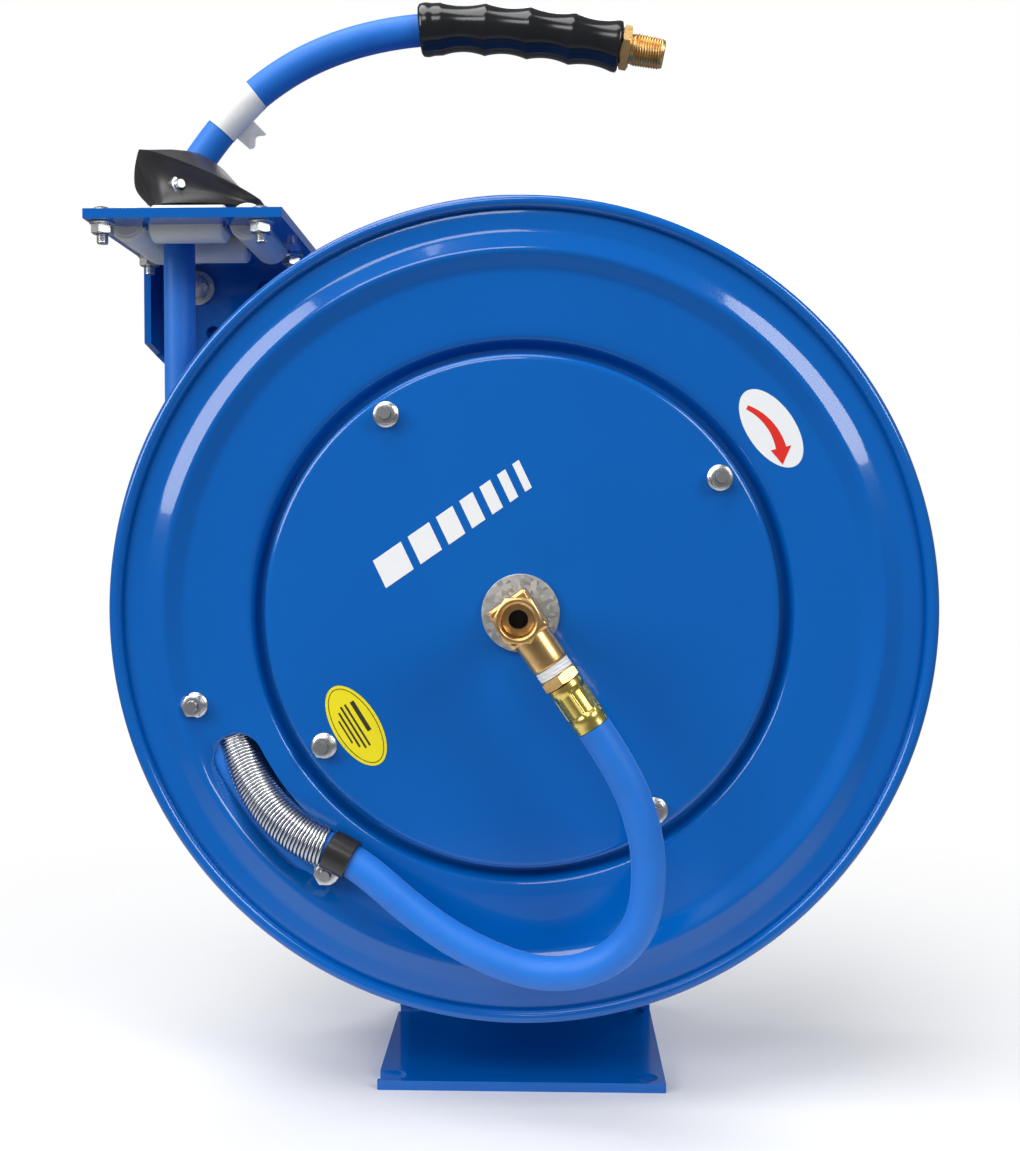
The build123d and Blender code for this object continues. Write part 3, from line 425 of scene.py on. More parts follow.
def rounded(points, radius, steps=4):  # outline in millimetres with its corners turned into arcs
    made = [points[0]]
    for before, here, after in zip(points, points[1:], points[2:]):
        here = Vector(here)
        back, ahead = Vector(before) - here, Vector(after) - here
        cut = min(radius, 0.45 * back.length, 0.45 * ahead.length)
        first = here + back.normalized() * cut
        last = here + ahead.normalized() * cut
        for i in range(steps + 1):
            t = i / steps
            made.append(tuple(first * (1 - t) ** 2 + here * (2 * t * (1 - t)) + last * t ** 2))
    made.append(points[-1])
    return made


def bevelled(obj, width, segments=2, angle=40):
    edge = obj.modifiers.new("edges", "BEVEL")
    edge.width = width * mm
    edge.segments = segments
    edge.limit_method = "ANGLE"
    edge.angle_limit = math.radians(angle)


# Hoses: one NURBS spline through each route
def hoseCurve(name, points, radius, resolution=5, roundness=6):
    data = bpy.data.curves.new(name, "CURVE")
    data.dimensions = "3D"
    data.resolution_u = resolution
    data.bevel_depth = radius * mm
    data.bevel_resolution = roundness
    data.use_fill_caps = radius > 0
    spline = data.splines.new("NURBS")
    spline.points.add(len(points) - 1)
    for target, point in zip(spline.points, points):
        target.co = (*point, 1)
    spline.order_u = 3
    spline.use_endpoint_u = True
    obj = bpy.data.objects.new(name, data)
    scene.collection.objects.link(obj)
    return obj


class Route:  # distances along a hose, read from its own spline
    def __init__(self, points, resolution=12):
        obj = hoseCurve("route", points, 0, resolution)
        mesh = bpy.data.meshes.new_from_object(obj)
        self.points = [v.co.copy() for v in mesh.vertices]
        bpy.data.objects.remove(obj)
        bpy.data.meshes.remove(mesh)
        self.marks = [0.0]
        for a, b in zip(self.points, self.points[1:]):
            self.marks.append(self.marks[-1] + (b - a).length / mm)
        self.length = self.marks[-1]

    def at(self, distance):
        distance = min(self.length, max(0, distance))
        i = 0
        while i < len(self.marks) - 2 and self.marks[i + 1] < distance:
            i += 1
        share = (distance - self.marks[i]) / (self.marks[i + 1] - self.marks[i])
        return self.points[i].lerp(self.points[i + 1], share)

    def along(self, distance, reach=1.5):
        return (self.at(distance + reach) - self.at(distance - reach)).normalized()

    def nearest(self, point):
        gaps = [(p - point).length for p in self.points]
        return self.marks[gaps.index(min(gaps))]

    def rings(self, stations, radiusAt, steps=40, side=Vector((0, 1, 0))):
        rings = []
        for distance in stations:
            axis = self.along(distance)
            u = (side - axis * side.dot(axis)).normalized()
            v = axis.cross(u)
            ring = []
            for j in range(steps):
                a = fullTurn * j / steps
                r = radiusAt(distance, a) * mm
                ring.append(self.at(distance) + (u * math.cos(a) + v * math.sin(a)) * r)
            rings.append(ring)
        return rings


outlet = {"angle": -55.5, "y": -125.5, "neckEnd": 26.3, "tapeEnd": 31.3, "hexEnd": 36.8, "ferruleEnd": 61.3}
outletAxis = Vector((math.cos(math.radians(outlet["angle"])), 0, math.sin(math.radians(outlet["angle"]))))


def outletPoint(distance):
    return reel(0, outlet["y"], 0) + outletAxis * (distance * mm)


loopRoute = [outletPoint(outlet["ferruleEnd"]), outletPoint(outlet["ferruleEnd"] + 17)] + [reel(*p) for p in [
    (55.5, -124.4, -86.5), (61.5, -122.0, -112.0), (60.5, -118.0, -138.0), (54.0, -114.8, -154.0),
    (40.5, -111.4, -167.0), (22.0, -108.0, -173.5), (0.0, -104.2, -172.8), (-30.0, -99.2, -161.5),
    (-54.5, -95.2, -145.5), (-73.5, -92.2, -129.5), (-89.5, -89.8, -119.6), (-105.0, -88.2, -114.2),
    (-120.5, -83.8, -104.5), (-133.0, -76.0, -92.0), (-142.5, -68.8, -76.0), (-147.6, -65.4, -62.0),
    (-151.8, -66.2, -43.5), (-153.8, -67.2, -24.4),
]]


def windingRoute():  # six turns back, six turns forward on top, then two to the middle of the drum
    spec = {"perTurn": 36, "turns": 13.94, "start": 184.0, "frontY": -67.5, "cross": 0.16}
    points = []
    count = round(spec["turns"] * spec["perTurn"])
    for i in range(count + 1):
        turn = i / spec["perTurn"]
        layer = min(2, int(turn // 6))
        rise = ease((turn - 5.9) / 0.2) + ease((turn - 11.9) / 0.2)
        radius = (hose["firstLayer"] + hose["layerStep"] * rise) / math.cos(math.pi / spec["perTurn"])
        if layer < 2:
            inLayer = turn - 6 * layer
            wrap = int(inLayer)
            step = wrap + ease((inLayer - wrap - 1 + spec["cross"]) / spec["cross"])
            step = min(step, 5)
            across = step if layer == 0 else 5 - step
            y = spec["frontY"] + hose["pitch"] * across
        else:
            late = turn - 12
            first, second = min(late, 1), max(0, late - 1) / (spec["turns"] - 13)
            y = spec["frontY"] + 1.5 * hose["pitch"] * first + hose["pitch"] * second
        points.append(onDisc(radius, spec["start"] - 360 * turn, y))
    return points


drumHose = hoseCurve("drumHose", loopRoute + windingRoute(), hose["radius"], 3)
settle(drumHose, hoseBlue, "drum", ["hose_loop", "hose_pack"])
drumRoute = Route(loopRoute + windingRoute(), 3)
print("hose on the drum", round(drumRoute.length * mm, 3), "m")

stopBottom = 211.85
leadEase = 1 / math.cos(math.radians(4))
leadRadius = hose["radius"] + 0.15
leadRoute = [onDisc(-hose["leadX"] * leadEase, 212 - 8 * i, drum["middle"]) for i in range(4)]
leadRoute += [reel(hose["leadX"], drum["middle"], z) for z in (-13, 6, 60, 120, 170, stopBottom - 0.3)]
leadHose = hoseCurve("leadHose", leadRoute, leadRadius, 8)
settle(leadHose, hoseBlue, "root", ["hose_lead"])
Route(leadRoute).length * mm

tailRoute = [reel(x, drum["middle"], z) for x, z in [
    (hose["leadX"], stopBottom), (hose["leadX"], 220.05), (-182.0, 231.0), (-173.5, 244.0), (-163.5, 257.0),
    (-151.0, 271.0), (-135.5, 283.5), (-116.0, 295.0), (-92.0, 304.0), (-66.0, 309.3), (-40.0, 310.9),
    (-8.0, 309.3), (24.0, 305.2), (52.5, 300.0),
]]
tailHose = hoseCurve("tailHose", tailRoute, hose["radius"], 10)
settle(tailHose, hoseBlue, "hose_end", ["hose_tail"])
tailLine = Route(tailRoute)
followHose = hoseCurve("followHose", [reel(hose["leadX"], drum["middle"], z) for z in (110, 145, 180, 214)],
                       hose["radius"] - 0.05, 4)
settle(followHose, hoseBlue, "hose_end", ["hose_core"])
loopLine = Route(loopRoute)
print("hoses made, tail", round(tailLine.length), "mm")


# Steel nodes that keep their own shape, with eased edges
carried = {
    paint: ["base_pedestal", "guide_arm", "guide_bracket", "guide_plate", "drum_hub", "spring_case"],
    turnedSteel: ["axle", "spring_arbor", "bearing_tube", "ratchet_wheel", "pawl"],
    zinc: ["axle_spacer", "axle_washer", "axle_nut", "pawl_pin", "cover_studs", "arm_bolts", "swivel_nut"],
    springSteel: ["main_spring", "pawl_spring"],
    nylon: ["front_bush", "rear_bush"],
    sealRubberAndShade: ["swivel_seals"],
    strapNylon: ["inner_clip"],
}
easedNodes = {"base_pedestal": 0.8, "guide_bracket": 0.5, "guide_plate": 0.6, "axle_nut": 0.5}
for finish, names in carried.items():
    for nodeName in names:
        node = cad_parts[nodeName]
        node.data.materials.clear()
        node.data.materials.append(finish.material)
        if nodeName in easedNodes:
            weld = node.modifiers.new("weld", "WELD")
            weld.merge_threshold = 0.00001
            bevelled(node, easedNodes[nodeName], 3)
print("steel nodes finished")


# Pressed flanges: radius and depth below the outer plane
flangeSpec = {
    "profile": [(110, 14), (134, 14), (135.4, 7.4), (138, 5.9), (143, 5.5), (171, 5.5),
                (180, 0.6), (190, 4), (198.5, 4), (203.2, 4.8)],
    "soften": 1.3, "rings": 96, "slotFrom": 207.5, "slotTo": 227.5, "slotMiddle": 161.5, "slotHalf": 12.6,
    "slotLip": 2.4, "scoopDepth": 5.2,
}


def softDepth(radius):
    spread = [flangeSpec["soften"] * (i - 4) / 4 for i in range(9)]
    return sum(between(flangeSpec["profile"], radius + s) for s in spread) / len(spread)


def scoop(radius, degrees):  # the pressing that leads the hose down into its slot
    sweep = ease((degrees - 202) / 7) * ease((243 - degrees) / 22)
    across = ease((radius - 151) / 9) * ease((179.5 - radius) / 10)
    return flangeSpec["scoopDepth"] * sweep * across


def slotGap(radius, degrees):  # distance outside the slot's edge, and the way to it
    inside = min(max(degrees, flangeSpec["slotFrom"]), flangeSpec["slotTo"])
    a, b = math.radians(degrees), math.radians(inside)
    here = Vector((radius * math.cos(a), radius * math.sin(a)))
    spine = Vector((math.cos(b), math.sin(b))) * flangeSpec["slotMiddle"]
    return (here - spine).length - flangeSpec["slotHalf"], here, spine


def pressedFlange(name, front, direction, replaced, steps, slotted):
    inner, outer = flangeSpec["profile"][0][0], flangeSpec["profile"][-1][0]
    radii = [inner + (outer - inner) * i / flangeSpec["rings"] for i in range(flangeSpec["rings"] + 1)]
    depths = [softDepth(r) for r in radii]
    shape = Shape()
    rings = []
    inSlot = set()
    for i, (radius, depth) in enumerate(zip(radii, depths)):
        ring = []
        for j in range(steps):
            degrees = 360 * j / steps
            extra = 0
            x = radius * math.cos(math.radians(degrees))
            z = radius * math.sin(math.radians(degrees))
            if slotted and 195 < degrees < 250:
                extra = scoop(radius, degrees)
                gap, here, spine = slotGap(radius, degrees)
                if gap < 0:
                    inSlot.add((i, j))
                    if gap > -flangeSpec["slotLip"]:
                        x, z = spine + (here - spine).normalized() * flangeSpec["slotHalf"]
            ring.append(reel(x, front + direction * (depth + extra), z))
        rings.append(ring)
    shape.rows(rings)
    kept = []
    for index, face in enumerate(shape.faces):
        i, j = index // steps, index % steps
        corners = [(i, j), (i, (j + 1) % steps), (i + 1, (j + 1) % steps), (i + 1, j)]
        if not all(corner in inSlot for corner in corners):
            kept.append(face)
    shape.faces = kept
    obj = shape.make(name, paint, "drum", replaced, 60)
    bulk = obj.modifiers.new("sheet", "SOLIDIFY")
    bulk.thickness = drum["sheet"] * mm
    bulk.offset = -1 if obj.data.polygons[0].normal.y * direction < 0 else 1
    bulk.use_even_offset = True
    bevelled(obj, 0.45, 2, 55)
    roll = Shape()
    centre = drum["rimRadius"] - drum["rollRadius"]
    circle = [(centre + drum["rollRadius"] * math.cos(fullTurn * k / 20),
               drum["rollRadius"] * (1 + math.sin(fullTurn * k / 20))) for k in range(20)]
    roll.turn(circle, reel(0, front, 0), (0, direction, 0), 360, loop=True)
    roll.make(name + "Roll", paint, "drum")


pressedFlange("frontFlange", drum["front"], 1, ["front_flange"], 720, True)
pressedFlange("rearFlange", drum["rear"], -1, ["rear_flange"], 480, False)
rearDisc = Shape()
rearOutline = rounded([(111, 14.0), (60, 14.0), (34, 10.5), (22, 10.5), (16.2, 14.5),
                       (16.2, 16.5), (24, 12.5), (34, 12.5), (60, 16), (111, 16)], 3)
rearDisc.turn(rearOutline, reel(0, drum["rear"], 0), (0, -1, 0), 180, loop=True)
rearDisc.make("rearDisc", paint, "drum")
print("flanges pressed")

# Spring cover: a flat disc with a rounded edge
coverSpec = {"edge": 4.2, "sheet": 1.5, "bore": 6.1, "lip": 11.5}


def springCover():
    r, lip, bore, sheet = drum["coverRadius"], coverSpec["lip"], coverSpec["bore"], coverSpec["sheet"]
    outline = rounded([(bore, 0), (40, 0.02), (r, 0), (r, lip)], coverSpec["edge"], 8)
    outline += rounded([(r - sheet, lip), (r - sheet, sheet), (bore, sheet)], coverSpec["edge"] - sheet, 6)
    shape = Shape().turn(outline, reel(0, drum["coverFace"], 0), (0, 1, 0), 360, loop=True)
    shape.make("springCover", paint, "drum", ["case_cover"])


springCover()


# Flange nuts and bolts
nutSpec = {"apothem": 5.0, "flange": 6.6, "flangeHeight": 1.5, "height": 6.0, "stud": 3.0, "pitch": 1.0}


def flangeNut(shape, foot, axis, proud=2.2):
    spec = nutSpec
    bore = spec["stud"] - 0.05
    low = spec["flangeHeight"]
    skirt = rounded([(bore, 0), (spec["flange"], 0), (spec["flange"], 0.7), (spec["apothem"] + 0.3, low),
                     (bore, low + 0.5)], 0.35, 3)
    shape.turn(skirt, foot, axis, 40, loop=True)
    shape.hexagon(spec["apothem"], low - 0.2, spec["height"], spec["stud"] + 0.02, foot, axis)
    shape.thread(spec["stud"], 0.3, spec["pitch"], -1.0, spec["height"] + proud, foot, axis, 24)


coverNuts = Shape()
for k in range(4):
    spot = onDisc(drum["coverBoltRadius"], drum["coverBoltAngle"] + 90 * k, drum["coverFace"])
    flangeNut(coverNuts, spot, (0, -1, 0))
coverNuts.make("coverNuts", zinc, "drum", ["cover_nuts"])
frontNuts = Shape()
clampBolt, innerClipBolt = (164.0, 233.3), (171.7, 196.0)
flangeNut(frontNuts, onDisc(*clampBolt, drum["plateauFace"] - 2.4), (0, -1, 0), 2.6)
flangeNut(frontNuts, onDisc(*innerClipBolt, drum["plateauFace"]), (0, -1, 0))
frontNuts.make("frontNuts", zinc, "drum", ["flange_fasteners"])


guideSpec = {"x": -174.0, "z": 201.5, "boltX": 41.0, "boltY": 39.5, "sheet": 2.5,
             "sideOffset": 31.5, "endOffset": 24.5}
guideBolts, guideNuts = Shape(), Shape()
for side in (-1, 1):
    for end in (-1, 1):
        x, y = guideSpec["x"] + side * guideSpec["boltX"], drum["middle"] + end * guideSpec["boltY"]
        top = reel(x, y, guideSpec["z"] + guideSpec["sheet"])
        bottom = reel(x, y, guideSpec["z"] - guideSpec["sheet"])
        dome = rounded([(0.05, 3.1), (2.6, 2.9), (5.2, 1.5), (6.3, 0.9), (6.3, 0), (2.9, 0)], 1.2, 4)
        guideBolts.turn(dome, top, (0, 0, 1), 40)
        guideBolts.thread(3.0, 0.3, 1.0, 0.1, 15.8, top, (0, 0, -1), 24)
        flangeNut(guideNuts, bottom, (0, 0, -1), 1.0)
guideBolts.make("guideBolts", zinc, "root", ["guide_bolts"])
guideNuts.make("guideNuts", zinc, "root", ["guide_nuts"])

# Two M8 bolts through the bracket, heads in front and nuts behind, each on a washer
bracketSpec = {"spots": ((-196.0, 187.0), (-150.0, 158.0)), "front": 48.5, "back": 58.5, "apothem": 6.5,
               "head": 5.3, "nut": 6.4, "washer": 1.6, "frontWasher": 10.2, "backWasher": 8.4, "shank": 4.0}
bracketBolts = Shape()


def bracketWasher(radius, under, axis):
    hole, thick = bracketSpec["shank"], bracketSpec["washer"]
    outline = rounded([(hole, 0), (radius, 0), (radius, thick), (hole, thick)], 0.3, 3)
    bracketBolts.turn(outline, under, axis, 40, loop=True)


for x, z in bracketSpec["spots"]:
    front, back = reel(x, bracketSpec["front"], z), reel(x, bracketSpec["back"], z)
    flats, low, shank = bracketSpec["apothem"], bracketSpec["washer"], bracketSpec["shank"]
    headTop, nutTop = low + bracketSpec["head"], low + bracketSpec["nut"]
    bracketWasher(bracketSpec["frontWasher"], front, (0, -1, 0))
    bracketBolts.hexagon(flats, low, headTop, 0.6, front, (0, -1, 0))
    bracketBolts.turn([(0.05, headTop - 0.35), (0.62, headTop - 0.35)], front, (0, -1, 0), 48)
    bracketBolts.thread(shank, 0.3, shank / 3, 0.1, 24, front, (0, 1, 0), 24)
    bracketWasher(bracketSpec["backWasher"], back, (0, 1, 0))
    bracketBolts.hexagon(flats, low, nutTop, shank, back, (0, 1, 0))
bracketBolts.make("bracketBolts", zinc, "root", ["bracket_bolts"])

# Guide rollers, each on its own pin
rollerSpec = {"radius": 9.75, "bore": 2.05, "side": 62.0, "end": 40.0,
              "pin": 1.95, "sidePin": 38.4, "endPin": 21.4}
rollerPins = Shape()


def guideRoller(place, centre, axis, length, pinHalf):
    r, bore, pin = rollerSpec["radius"], rollerSpec["bore"], rollerSpec["pin"]
    outline = rounded([(bore, 0), (r - 2.4, 0), (r - 2.2, 0.5), (r - 1.2, 0.5), (r, 1.7), (r, length / 2),
                       (r, length - 1.7), (r - 1.2, length - 0.5), (r - 2.2, length - 0.5), (r - 2.4, length),
                       (bore, length)], 0.5, 3)
    start = centre - Vector(axis) * (length / 2 * mm)
    roller = Shape().turn(outline, start, axis, 72, loop=True)
    roller.make(place + "Roller", nylon, place + "_roller", ["roller_" + place], 40)
    pinLine = rounded([(0.05, -pinHalf), (pin, -pinHalf), (pin, pinHalf), (0.05, pinHalf)], 0.3, 2)
    rollerPins.turn(pinLine, centre, axis, 24)


for side, place in ((-1, "left"), (1, "right")):
    spot = reel(guideSpec["x"] + side * guideSpec["sideOffset"], drum["middle"], guideSpec["z"])
    guideRoller(place, spot, (0, 1, 0), rollerSpec["side"], rollerSpec["sidePin"])
for end, place in ((-1, "front"), (1, "back")):
    spot = reel(guideSpec["x"], drum["middle"] + end * guideSpec["endOffset"], guideSpec["z"])
    guideRoller(place, spot, (1, 0, 0), rollerSpec["end"], rollerSpec["endPin"])
rollerPins.make("rollerPins", zinc, "root", ["roller_pins"])
print("nuts, bolts and rollers made")


# Brass inlet swivel, from the washer on the cover to the crimped ferrule
swivelSpec = {"washer": 19.5, "block": 10.5, "blockChamfer": 1.3, "neck": 9.25, "port": 7.43,
              "collarFront": -146.5, "collarHex": 10.2, "collarLength": 10.2, "portDepth": 14,
              "portPitch": 1.41}


def swivelWasher():
    r = swivelSpec["washer"]
    outline = rounded([(6.1, 0), (r, 0), (r, 2.9), (6.1, 2.9)], 0.4, 3)
    Shape().turn(outline, reel(0, drum["coverFace"], 0), (0, -1, 0), 120, loop=True).make(
        "swivelWasher", washerZinc, "drum", ["swivel_washer"])


def swivelBody():
    h, c = swivelSpec["block"], swivelSpec["blockChamfer"]
    shape = Shape()
    v = Vector((0, 1, 0))
    u = outletAxis
    w = u.cross(v)
    middle = reel(0, outlet["y"], 0)
    rows = []
    sizes = [(h - 0.5, 0, 8.85), (-h, 0, 8.85), (-h, c, 0), (-h + c, 0, 0), (h - c, 0, 0), (h, c, 0),
             (h, 0, 7.0)]
    for depth, shrink, hole in sizes:
        row = []
        for k in range(64):
            a = fullTurn * (k + 0.5) / 64
            side = h - shrink
            corner = 1 / max(abs(math.cos(a)), abs(math.sin(a)))
            r = hole or min(side * corner, side * 1.36)
            row.append(middle + v * (depth * mm) + u * (r * math.cos(a) * mm) + w * (r * math.sin(a) * mm))
        rows.append(row)
    shape.rows(rows)
    neck = swivelSpec["neck"]
    barrel = rounded([(4.75, 8), (neck, 8), (neck, 25.6), (neck - 0.7, 26.3), (7.4, 26.3), (7.4, 15),
                      (4.75, 15)], 0.5, 3)
    shape.turn(barrel, middle, outletAxis, 64, loop=True)
    collar = rounded([(4, 8), (neck - 0.4, 8), (neck - 0.4, 16.5), (neck + 0.5, 17.2), (neck + 0.5, 40.9),
                      (4, 40.9)], 0.4, 3)
    shape.turn(collar, middle, (0, 1, 0), 64, loop=True)
    bevelled(shape.make("swivelBody", brass, "drum", ["swivel_body"], 30), 0.25, 2)


def swivelCollar():
    front = reel(0, swivelSpec["collarFront"], 0)
    deep = (0, 1, 0)
    shape = Shape()
    apothem, length, port = swivelSpec["collarHex"], swivelSpec["collarLength"], swivelSpec["port"]

    def flat(a):
        return hexRadius(apothem, a)

    def ring(radiusAt, alongAt):
        return ringOf(front, deep, 60, radiusAt, alongAt)

    def circle(radius, along):
        return ring(lambda a: radius, lambda a: along)

    rows = [
        circle(4.5, length),
        circle(apothem * 0.97, length),
        ring(flat, lambda a: length - (flat(a) - apothem * 0.97) * 0.6),
        ring(flat, lambda a: (flat(a) - apothem * 0.96) * 0.7),
        circle(apothem * 0.96, 0),
        circle(port + 1.3, 0.02),
        circle(port + 0.9, 0.35),
    ]
    slices = 66
    for i in range(slices + 1):
        along = 0.9 + (swivelSpec["portDepth"] - 1.5) * i / slices
        crest = 0.42 * ease((slices - i) / 12)

        def threaded(a):
            phase = (along / swivelSpec["portPitch"] + a / fullTurn) % 1
            return port + 0.15 - 0.03 * along + crest * abs(2 * phase - 1)

        rows.append(ring(threaded, lambda a: along))
    rows += [circle(port - 0.6, 13.4), circle(4.6, 13.9), circle(4.4, 14.2), circle(4.4, length + 17)]
    shape.rows(rows)
    shape.turn([(4.4, 27.2), (8.6, 27.2), (8.6, 10.0), (4.5, 10.0)], front, deep, 60)
    shape.make("swivelCollar", brass, "swivel", ["swivel_collar"], 40)
    # painted shade: a dark disc in the seal rubber finish deep in the port bore, where the brass bore is only
    # in shade
    portShadeDisc = Shape().turn([(0.05, 15.2), (3.2, 15.5), (4.42, 15.7)], front, deep, 40)
    portShadeDisc.make("portShade", sealRubberAndShade, "swivel", [], 40)


def threadTape():
    def layers(r, along, a):
        return r + 0.10 * math.sin(3 * a + along * 4) + 0.07 * math.sin(11 * a + 2 * along)

    outline = [(7.4, 0)] + [(8.55, 0.15 + 4.6 * i / 16) for i in range(17)] + [(7.4, 4.9)]
    Shape().turn(outline, outletPoint(outlet["neckEnd"]), outletAxis, 90, layers, loop=True).make(
        "threadTape", tape, "drum", ["thread_tape"], 50)


def hoseNipple():
    shape = Shape().hexagon(8.75, outlet["tapeEnd"], outlet["hexEnd"], 3.2, outletPoint(0), outletAxis)
    shape.turn([(3.2, 15), (7.3, 15), (7.3, outlet["tapeEnd"] + 0.2), (3.2, outlet["tapeEnd"] + 0.2)],
               outletPoint(0), outletAxis, 48, loop=True)
    shape.turn([(3.2, outlet["hexEnd"] - 0.2), (4.7, outlet["hexEnd"] - 0.2), (4.7, 56), (3.2, 56)],
               outletPoint(0), outletAxis, 48, loop=True)
    shape.make("hoseNipple", brass, "drum", ["hose_nipple"])


def crimpFerrule():  # eight jaw marks pressed into a thin plated sleeve
    spec = {"radius": 8.45, "jaws": 8, "depth": 0.75}
    length = outlet["ferruleEnd"] - outlet["hexEnd"]

    def crimped(r, along, a):
        if r < 8:
            return r
        share = ease((along - 3.2) / 2.2) * ease((length - 6.4 - along) / 2.2)
        jaw = (a * spec["jaws"] / fullTurn) % 1
        valley = ease((0.5 - abs(jaw - 0.5)) / 0.16)
        farBead = 0.28 * math.exp(-((along - length + 5.2) / 1.5) ** 2)
        nearBead = 0.2 * math.exp(-((along - 2.4) / 1.2) ** 2)
        return r - spec["depth"] * share * valley + (farBead + nearBead)

    count = 44
    outline = [(7.2, 0.1)] + [(spec["radius"], 0.25 + (length - 0.6) * i / count) for i in range(count + 1)]
    outline += [(7.75, length), (7.2, length - 0.4)]
    Shape().turn(outline, outletPoint(outlet["hexEnd"]), outletAxis, 144, crimped, loop=True).make(
        "crimpFerrule", goldPlate, "drum", ["crimp_ferrule"], 50)


swivelWasher()
swivelBody()
swivelCollar()
threadTape()
hoseNipple()
crimpFerrule()
print("swivel made")

# Wire guard over the hose where it goes through the flange
guardSpec = {"wire": 0.79, "radius": 9.75, "turns": 50, "perTurn": 20, "past": 8.4}


def wireGuard():
    start = loopLine.nearest(loopRoute[12]) + guardSpec["past"]
    finish = loopLine.nearest(loopRoute[18]) - 8
    side = Vector((0, 1, 0))
    points = []
    count = guardSpec["turns"] * guardSpec["perTurn"]
    for i in range(count + 1):
        share = i / count
        distance = start + (finish - start) * share
        axis = loopLine.along(distance)
        u = (side - axis * side.dot(axis)).normalized()
        v = axis.cross(u)
        a = fullTurn * guardSpec["turns"] * share + 2.0
        across = u * math.cos(a) + v * math.sin(a)
        points.append(loopLine.at(distance) + across * (guardSpec["radius"] * mm))
    wire = hoseCurve("wireGuard", points, guardSpec["wire"], 2, 3)
    settle(wire, guardWire, "drum", ["spring_guard"])


wireGuard()


# Black nylon clip that holds the hose on the flange
clipSpec = {"width": 13.4, "thick": 1.8, "footHalf": 6.7, "footThick": 2.3}


def hoseClip():
    spec = clipSpec
    here = loopLine.nearest(loopRoute[12])
    centre = loopLine.at(here)
    axis = loopLine.along(here)
    bolt = onDisc(*clampBolt, drum["plateauFace"])
    under = Vector((0, 1, 0))
    foot = Vector((centre.x, bolt.y, centre.z))
    ahead = bolt - foot
    reach = ahead.length / mm
    ahead.normalize()
    cross = ahead.cross(under)
    shape = Shape()
    inner = hose["radius"] + 0.12
    outer = inner + spec["thick"]
    half = spec["width"] / 2
    lowered = (under - axis * under.dot(axis)).normalized()
    aside = axis.cross(lowered)
    rows = []
    section = [(inner, -half + 0.4), (inner + 0.4, -half), (outer - 0.5, -half), (outer, -half + 0.5),
               (outer, half - 0.5), (outer - 0.5, half), (inner + 0.4, half), (inner, half - 0.4)]
    for radius, along in section:
        row = []
        for k in range(72):
            a = fullTurn * k / 72
            across = lowered * math.cos(a) + aside * math.sin(a)
            row.append(centre + axis * (along * mm) + across * (radius * mm))
        rows.append(row)
    shape.rows(rows, loop=True)
    wide = spec["footHalf"]
    turns = [math.pi * k / 16 for k in range(1, 16)]
    tab = [(-2, -wide), (reach, -wide)]
    tab += [(reach + wide * math.sin(a), -wide * math.cos(a)) for a in turns]
    tab += [(reach, wide), (-2, wide)]
    shape.prism(tab, foot, ahead, cross, -under * (spec["footThick"] * mm))
    leg = [(outer - 5.0, 0), (outer + 0.9, 0), (outer + 0.5, -4), (outer - 0.1, -9.5), (outer - 1.9, -9.5),
           (outer - 3.6, -4.5)]
    shape.prism(leg, foot - cross * (half * mm), ahead, under, cross * (2 * half * mm))
    bevelled(shape.make("hoseClip", strapNylon, "drum", ["hose_clamp"], 35), 0.4, 2, 50)


hoseClip()
print("guard and clip made")

# Moulded stop in two bolted halves, clamped on the hose above the rollers
stopSpec = {
    "centre": (-173.5, -24.5), "shift": 5.0, "half": (35.0, 29.5), "bottom": 211.95,
    "split": (0.64, -0.77), "splitAt": (-180.5, -24.5), "gap": 0.12,
    "top": [(-213.5, 224.5), (-210.6, 233.5), (-206.3, 242.6), (-198.0, 244.3), (-191.4, 244.7),
            (-184.0, 244.3), (-177.8, 243.3), (-164.7, 236.9), (-152.7, 227.8), (-144.5, 217.5),
            (-143.0, 215.0)],
}
stopCut = Vector((*stopSpec["split"], 0)).normalized()


def stopTop(x):  # silhouette from the left shoulder over the dome to the thin right end
    return between(stopSpec["top"], x - stopSpec["shift"])


def stopRidge(x):  # height of the crest that sweeps down round the front of the moulding
    share = min(1, max(0, (x - stopSpec["shift"] + 207) / 62))
    return 241.5 - 24.0 * share ** 1.15


def stopSurface():
    cx, cy = stopSpec["centre"]
    rx, ry = stopSpec["half"]
    steps, levels, domes = 144, 16, 12
    rows = []
    angles = [fullTurn * j / steps for j in range(steps)]
    edge = []
    for a in angles:
        squareness = (abs(math.cos(a)) ** 2.6 + abs(math.sin(a)) ** 2.6) ** (-1 / 2.6)
        edge.append((rx * math.cos(a) * squareness, ry * math.sin(a) * squareness))
    for level in range(levels + 1):  # the wall under the crest, drawn in at its foot and hollowed in front
        t = level / levels
        row = []
        for a, (x, y) in zip(angles, edge):
            crest = min(stopRidge(cx + x), stopTop(cx + x) - 0.2)
            left = ease((-x - 14) / 20)
            foot = 1 - (0.30 * left + 0.05) * (1 - t) ** 1.3
            front = ease(-math.sin(a) * 1.6) * ease((math.cos(a) + 0.86) / 0.3)
            hollow = 1 - 0.17 * front * math.sin(math.pi * min(1, t * 1.04)) ** 0.8
            z = stopSpec["bottom"] + (crest - stopSpec["bottom"]) * t
            row.append(reel(cx + x * foot, cy + y * foot * hollow, z))
        rows.append(row)
    for level in range(1, domes + 1):  # the dome above it, closing in on the hose
        t = level / domes
        row = []
        for ex, ey in edge:
            x = ex * (1 - t) - 3 * t
            start = min(stopRidge(cx + ex), stopTop(cx + ex) - 0.2)
            rise = math.sin(math.pi / 2 * min(1, t * 1.2)) ** 0.95
            row.append(reel(cx + x, cy + ey * (1 - t), start + (stopTop(cx + x) - start) * rise))
        rows.append(row)
    return rows


